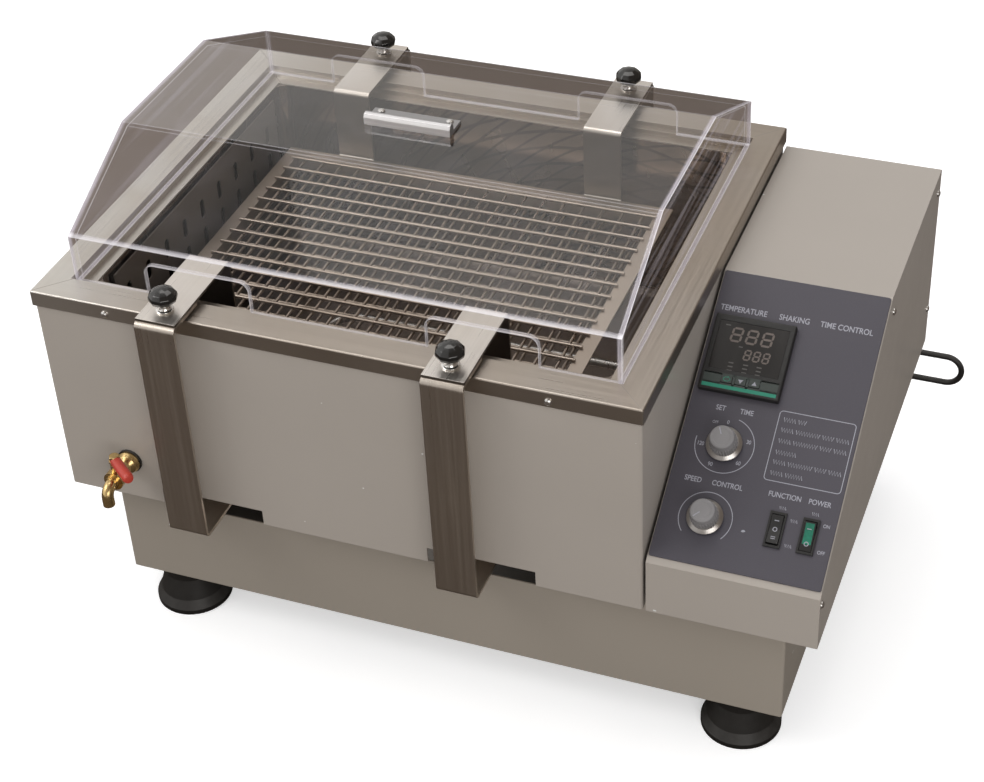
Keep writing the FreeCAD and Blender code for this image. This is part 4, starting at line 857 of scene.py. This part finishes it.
def make_dial(name, body, middle, pointer):
    """Fluted grey cap on a flared bright skirt, with a white pointer line."""
    seat = on_panel(middle[0], middle[1], 0.0)

    def flutes(angle, height):
        deep = FLUTE_DEPTH if FLUTES_FROM < height < FLUTES_TO else 0.0
        return deep * math.cos(FLUTES * angle)

    cap = bmesh.new()
    lathe(cap, [(10.6, 4.4), (12.0, 5.5), (11.9, 6.0), (11.5, 12.8), (11.2, 13.4), (11.0, 13.6),
                (10.7, 19.0), (10.4, 19.7), (9.4, 20.2), (7.6, 20.2), (7.2, 20.0), (0.4, 20.0)],
          FLUTES * 4, seat, flutes)
    piece = add_piece(name + "_cap", mesh_from(cap, name + "_cap", 25.0), "knob_grey", body)
    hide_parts(name)

    skirt = bmesh.new()
    lathe(skirt, [(12.0, 2.4), (15.5, 2.4), (15.8, 2.7), (15.8, 3.5), (15.4, 3.8), (12.6, 5.6),
                  (10.0, 5.6)], 96, seat)
    add_piece(name + "_skirt", mesh_from(skirt, name + "_skirt", 30.0), "satin_aluminium", body)

    line = bmesh.new()
    turned = seat @ Matrix.Rotation(math.radians(pointer), 4, "Z")
    bar(line, 2.5, 9.0, 0.0, 0.9, turned @ Matrix.Translation(Vector((0, 0, POINTER_HEIGHT)) * MM))
    add_piece(name + "_pointer", mesh_from(line, name + "_pointer"), "white_ink", body)


# ---------------------------------------------------------------- clamp knobs

KNOB_FACETS = 10
KNOB_EDGE = 0.45 * MM
STUD_LENGTH = 5.5 * MM


def make_clamp_knobs():
    """Black faceted mushroom heads on bright tapered collars with a threaded stud."""
    for end in ("front", "rear"):
        for side in ("left", "right"):
            node = "%s_%s_knob" % (end, side)
            body = "%s_%s_clamp" % (end, side)
            low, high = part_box(node)
            seat = Matrix.Translation(Vector(((low.x + high.x) / 2, (low.y + high.y) / 2,
                                              low.z + STUD_LENGTH)))
            head = bmesh.new()
            lathe(head, [(5.0, 6.8), (8.8, 7.6), (12.2, 10.6), (13.1, 13.6), (12.6, 16.4),
                         (10.2, 19.6), (6.2, 21.8), (2.0, 22.6)], KNOB_FACETS, seat)
            bmesh.ops.bevel(head, geom=list(head.edges), offset=KNOB_EDGE, segments=2,
                            affect="EDGES", profile=0.6)
            piece = add_piece(node + "_head", mesh_from(head, node + "_head", 20.0),
                              "black_gloss", body)
            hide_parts(node)
            collar = bmesh.new()
            lathe(collar, [(2.9, -5.4), (2.9, 0.1), (7.6, 0.1), (8.0, 0.4), (8.0, 1.3),
                           (7.5, 1.7), (6.0, 2.0), (5.6, 2.6), (4.9, 7.4), (2.0, 7.4)], 48, seat)
            add_piece(node + "_collar", mesh_from(collar, node + "_collar", 30.0), "chrome",
                      body)


# ---------------------------------------------------------------- tap


LEVER_ANGLE = -38.0
NUT_HEIGHT = 3.8 * MM
SLEEVE_LIFT = 5.6
EYE_LIFT = 3.3


def make_tap_lever():
    """Brass strap with a red dipped sleeve, and a hex nut on the stem."""
    joint = JOINTS["drain_lever_turn"]
    seat = Matrix.Translation(Vector(joint["pos_m"]).xy.to_3d())
    seat.translation.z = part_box("tap_lever")[0].z
    arm = seat @ Matrix.Rotation(math.radians(LEVER_ANGLE), 4, "Z")
    sideways = arm @ Matrix.Translation(Vector((0, 0, SLEEVE_LIFT)) * MM) @ Matrix.Rotation(
        math.pi / 2, 4, "Y")
    sleeve = bmesh.new()
    lathe(sleeve, [(3.4, -1.0), (4.6, -0.4), (5.0, 1.0), (5.25, 8.0), (5.25, 29.0), (5.0, 31.5),
                   (4.0, 33.3), (2.0, 34.0)], 32, sideways)
    piece = add_piece("tap_lever_sleeve", mesh_from(sleeve, "tap_lever_sleeve", 40.0),
                      "red_sleeve", "drain_lever")
    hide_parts("tap_lever")
    strap = bmesh.new()
    eye = seat @ Matrix.Translation(Vector((0, 0, EYE_LIFT)) * MM)
    lathe(strap, [(2.6, 0.0), (5.3, 0.0), (5.5, 0.3), (5.5, 2.7), (5.3, 3.0), (2.6, 3.0)], 32,
          eye)
    box = bmesh.ops.create_cube(strap, size=1.0)["verts"]
    shape = arm @ Matrix.Translation(Vector((7.0, 0, 4.8)) * MM) @ Matrix.Diagonal(
        (8.0 * MM, 5.6 * MM, 2.6 * MM, 1.0))
    bmesh.ops.transform(strap, matrix=shape, verts=box)
    add_piece("tap_lever_strap", mesh_from(strap, "tap_lever_strap", 30.0), "brass",
              "drain_lever")
    nut = bmesh.new()
    nut_seat = Matrix.Translation(Vector(joint["pos_m"]).xy.to_3d())
    nut_seat.translation.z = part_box("tap_body")[1].z - NUT_HEIGHT
    lathe(nut, [(4.4, 0.0), (5.0, 0.4), (5.0, 3.2), (4.4, 3.75), (2.0, 3.78)], 6, nut_seat)
    add_piece("tap_stem_nut", mesh_from(nut, "tap_stem_nut", 20.0), "brass", "housing")


# ---------------------------------------------------------------- stage


FLOOR_HALF_SIZE = 5.0
FLOOR_LIFT = 0.46
FLOOR_THROUGH_LID = (0.215, 0.178, 0.155)
BACKDROP = (0.96, 0.96, 0.96, 1.0)
BACKDROP_THROUGH_LID = (0.26, 0.22, 0.195, 1.0)
ROOM_GREY = (0.62, 0.62, 0.63, 1.0)
ROOM_MIRRORED_RIGHT = (0.20, 0.165, 0.135, 1.0)
ROOM_MIRRORED_LEFT = (0.95, 0.93, 0.90, 1.0)
GLOW_POWER = 0.12


def floor_material():
    """Pale floor for the camera; what it throws back at the object is toned down."""
    shader = Shader("floor")
    path = shader.add("LightPath")
    through_lid = shader.math("GREATER_THAN", path.outputs["Transparent Depth"], 0.5)
    seen = path.outputs["Is Camera Ray"]
    mirrored = path.outputs["Is Glossy Ray"]
    grain = shader.noise(30.0, 3.0)
    pale = shader.mix(grain, (0.90, 0.90, 0.90), (0.93, 0.93, 0.93))
    tone = shader.mix(seen, (0.34, 0.32, 0.30), pale)
    tone = shader.mix(mirrored, tone, (0.115, 0.095, 0.080))
    tone = shader.mix(through_lid, tone, FLOOR_THROUGH_LID)
    diffuse = shader.add("BsdfDiffuse", {"Color": tone})
    direct = shader.math("SUBTRACT", seen, through_lid, clamp=True)
    lift = shader.add("Emission", {"Color": (1.0, 1.0, 1.0),
                                   "Strength": shader.math("MULTIPLY", direct, FLOOR_LIFT)})
    return shader.finish(shader.add("AddShader", {0: diffuse.outputs[0], 1: lift.outputs[0]}))


def make_floor():
    work = bmesh.new()
    bmesh.ops.create_grid(work, x_segments=8, y_segments=8, size=FLOOR_HALF_SIZE)
    mesh = bpy.data.meshes.new("floor")
    work.to_mesh(mesh)
    work.free()
    floor = bpy.data.objects.new("floor", mesh)
    bpy.context.scene.collection.objects.link(floor)
    mesh.materials.append(floor_material())


def make_world():
    """Soft grey room: even for diffuse light, brighter to the upper left in reflections."""
    world = bpy.data.worlds.new("studio")
    bpy.context.scene.world = world
    world.use_nodes = True
    tree = world.node_tree
    tree.nodes.clear()

    def add(kind, **settings):
        node = tree.nodes.new("ShaderNode" + kind)
        for name, value in settings.items():
            setattr(node, name, value)
        return node

    direction = add("TexCoord")
    split = add("SeparateXYZ")
    tree.links.new(direction.outputs["Generated"], split.inputs[0])
    sideways = add("MapRange")
    for name, value in (("From Min", -0.75), ("From Max", 0.35), ("To Min", 1.0),
                        ("To Max", 0.0)):
        sideways.inputs[name].default_value = value
    tree.links.new(split.outputs[0], sideways.inputs["Value"])
    shine = add("Mix", data_type="RGBA")
    shine.inputs["A"].default_value = ROOM_MIRRORED_RIGHT
    shine.inputs["B"].default_value = ROOM_MIRRORED_LEFT
    tree.links.new(sideways.outputs["Result"], shine.inputs["Factor"])
    choose = add("Mix", data_type="RGBA")
    choose.inputs["A"].default_value = ROOM_GREY
    path = add("LightPath")
    tree.links.new(path.outputs["Is Glossy Ray"], choose.inputs["Factor"])
    tree.links.new(shine.outputs["Result"], choose.inputs["B"])
    through_lid = add("Math", operation="GREATER_THAN")
    through_lid.inputs[1].default_value = 0.5
    tree.links.new(path.outputs["Transparent Depth"], through_lid.inputs[0])
    beyond = add("Mix", data_type="RGBA")
    beyond.inputs["A"].default_value = BACKDROP
    beyond.inputs["B"].default_value = BACKDROP_THROUGH_LID
    tree.links.new(through_lid.outputs[0], beyond.inputs["Factor"])
    backdrop = add("Mix", data_type="RGBA")
    tree.links.new(beyond.outputs["Result"], backdrop.inputs["B"])
    tree.links.new(path.outputs["Is Camera Ray"], backdrop.inputs["Factor"])
    tree.links.new(choose.outputs["Result"], backdrop.inputs["A"])
    background = add("Background")
    tree.links.new(backdrop.outputs["Result"], background.inputs["Color"])
    output = add("OutputWorld")
    tree.links.new(background.outputs[0], output.inputs["Surface"])


def add_softbox(name, at, target, size, power, colour=(1.0, 0.98, 0.95)):
    lamp = bpy.data.lights.new(name, "AREA")
    lamp.shape = "RECTANGLE"
    lamp.size, lamp.size_y = size
    lamp.energy = power
    lamp.color = colour
    holder = bpy.data.objects.new(name, lamp)
    bpy.context.scene.collection.objects.link(holder)
    holder.location = at
    holder.rotation_euler = (Vector(target) - Vector(at)).to_track_quat("-Z", "Y").to_euler()


def add_inner_glow():
    """Keeps the inside of the base from going pure black behind its notches."""
    low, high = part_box("base_housing")
    lamp = bpy.data.lights.new("inner_glow", "POINT")
    lamp.energy = GLOW_POWER
    lamp.color = (1.0, 0.86, 0.74)
    lamp.shadow_soft_size = 30 * MM
    holder = bpy.data.objects.new("inner_glow", lamp)
    bpy.context.scene.collection.objects.link(holder)
    holder.location = (low.x + 0.36 * (high.x - low.x), low.y + 90 * MM, (low.z + high.z) / 2)


def make_lights():
    middle = (0.25, 0.17, 0.25)
    add_softbox("key_left", (-1.5, -0.9, 2.0), middle, (1.4, 1.0), 16.0)
    add_softbox("overhead", (0.1, 0.6, 2.3), middle, (1.8, 1.2), 13.0)
    add_inner_glow()
    add_softbox("front_fill", (1.7, -2.1, 1.0), middle, (1.6, 1.0), 18.0)


VIEW_AZIMUTH = 21.84
VIEW_ELEVATION = 36.30
VIEW_ROLL = -2.68
CAMERA_AT = (0.87356, -1.28517, 1.40554)
CAMERA_LENS = 75.3
CAMERA_SHIFT = (-0.0263, -0.0529)


def make_camera():
    """Stands to the right of the front, looking down, with a slightly rolled long lens."""
    azimuth, elevation, roll = (math.radians(a) for a in (VIEW_AZIMUTH, VIEW_ELEVATION,
                                                          VIEW_ROLL))
    back = Vector((math.sin(azimuth) * math.cos(elevation),
                   -math.cos(azimuth) * math.cos(elevation), math.sin(elevation)))
    level = Vector((math.cos(azimuth), math.sin(azimuth), 0))
    above = back.cross(level)
    right = level * math.cos(roll) + above * math.sin(roll)
    up = above * math.cos(roll) - level * math.sin(roll)
    data = bpy.data.cameras.new("camera")
    data.lens = CAMERA_LENS
    data.shift_x, data.shift_y = CAMERA_SHIFT
    camera = bpy.data.objects.new("camera", data)
    bpy.context.scene.collection.objects.link(camera)
    turn = Matrix((right, up, back)).transposed().to_4x4()
    camera.matrix_world = Matrix.Translation(CAMERA_AT) @ turn
    bpy.context.scene.camera = camera


# ---------------------------------------------------------------- build

dress_cad_nodes()
make_panel_print()
make_controller_face()
make_key_icons()
make_rocker_marks()
make_dial("timer_knob", "timer_dial", TIMER_AT, 115.0)
make_dial("speed_knob", "speed_dial", SPEED_AT, 225.0)
make_clamp_knobs()
make_tap_lever()
make_floor()
make_world()
make_lights()
make_camera()
bpy.context.scene.view_settings.view_transform = "Standard"
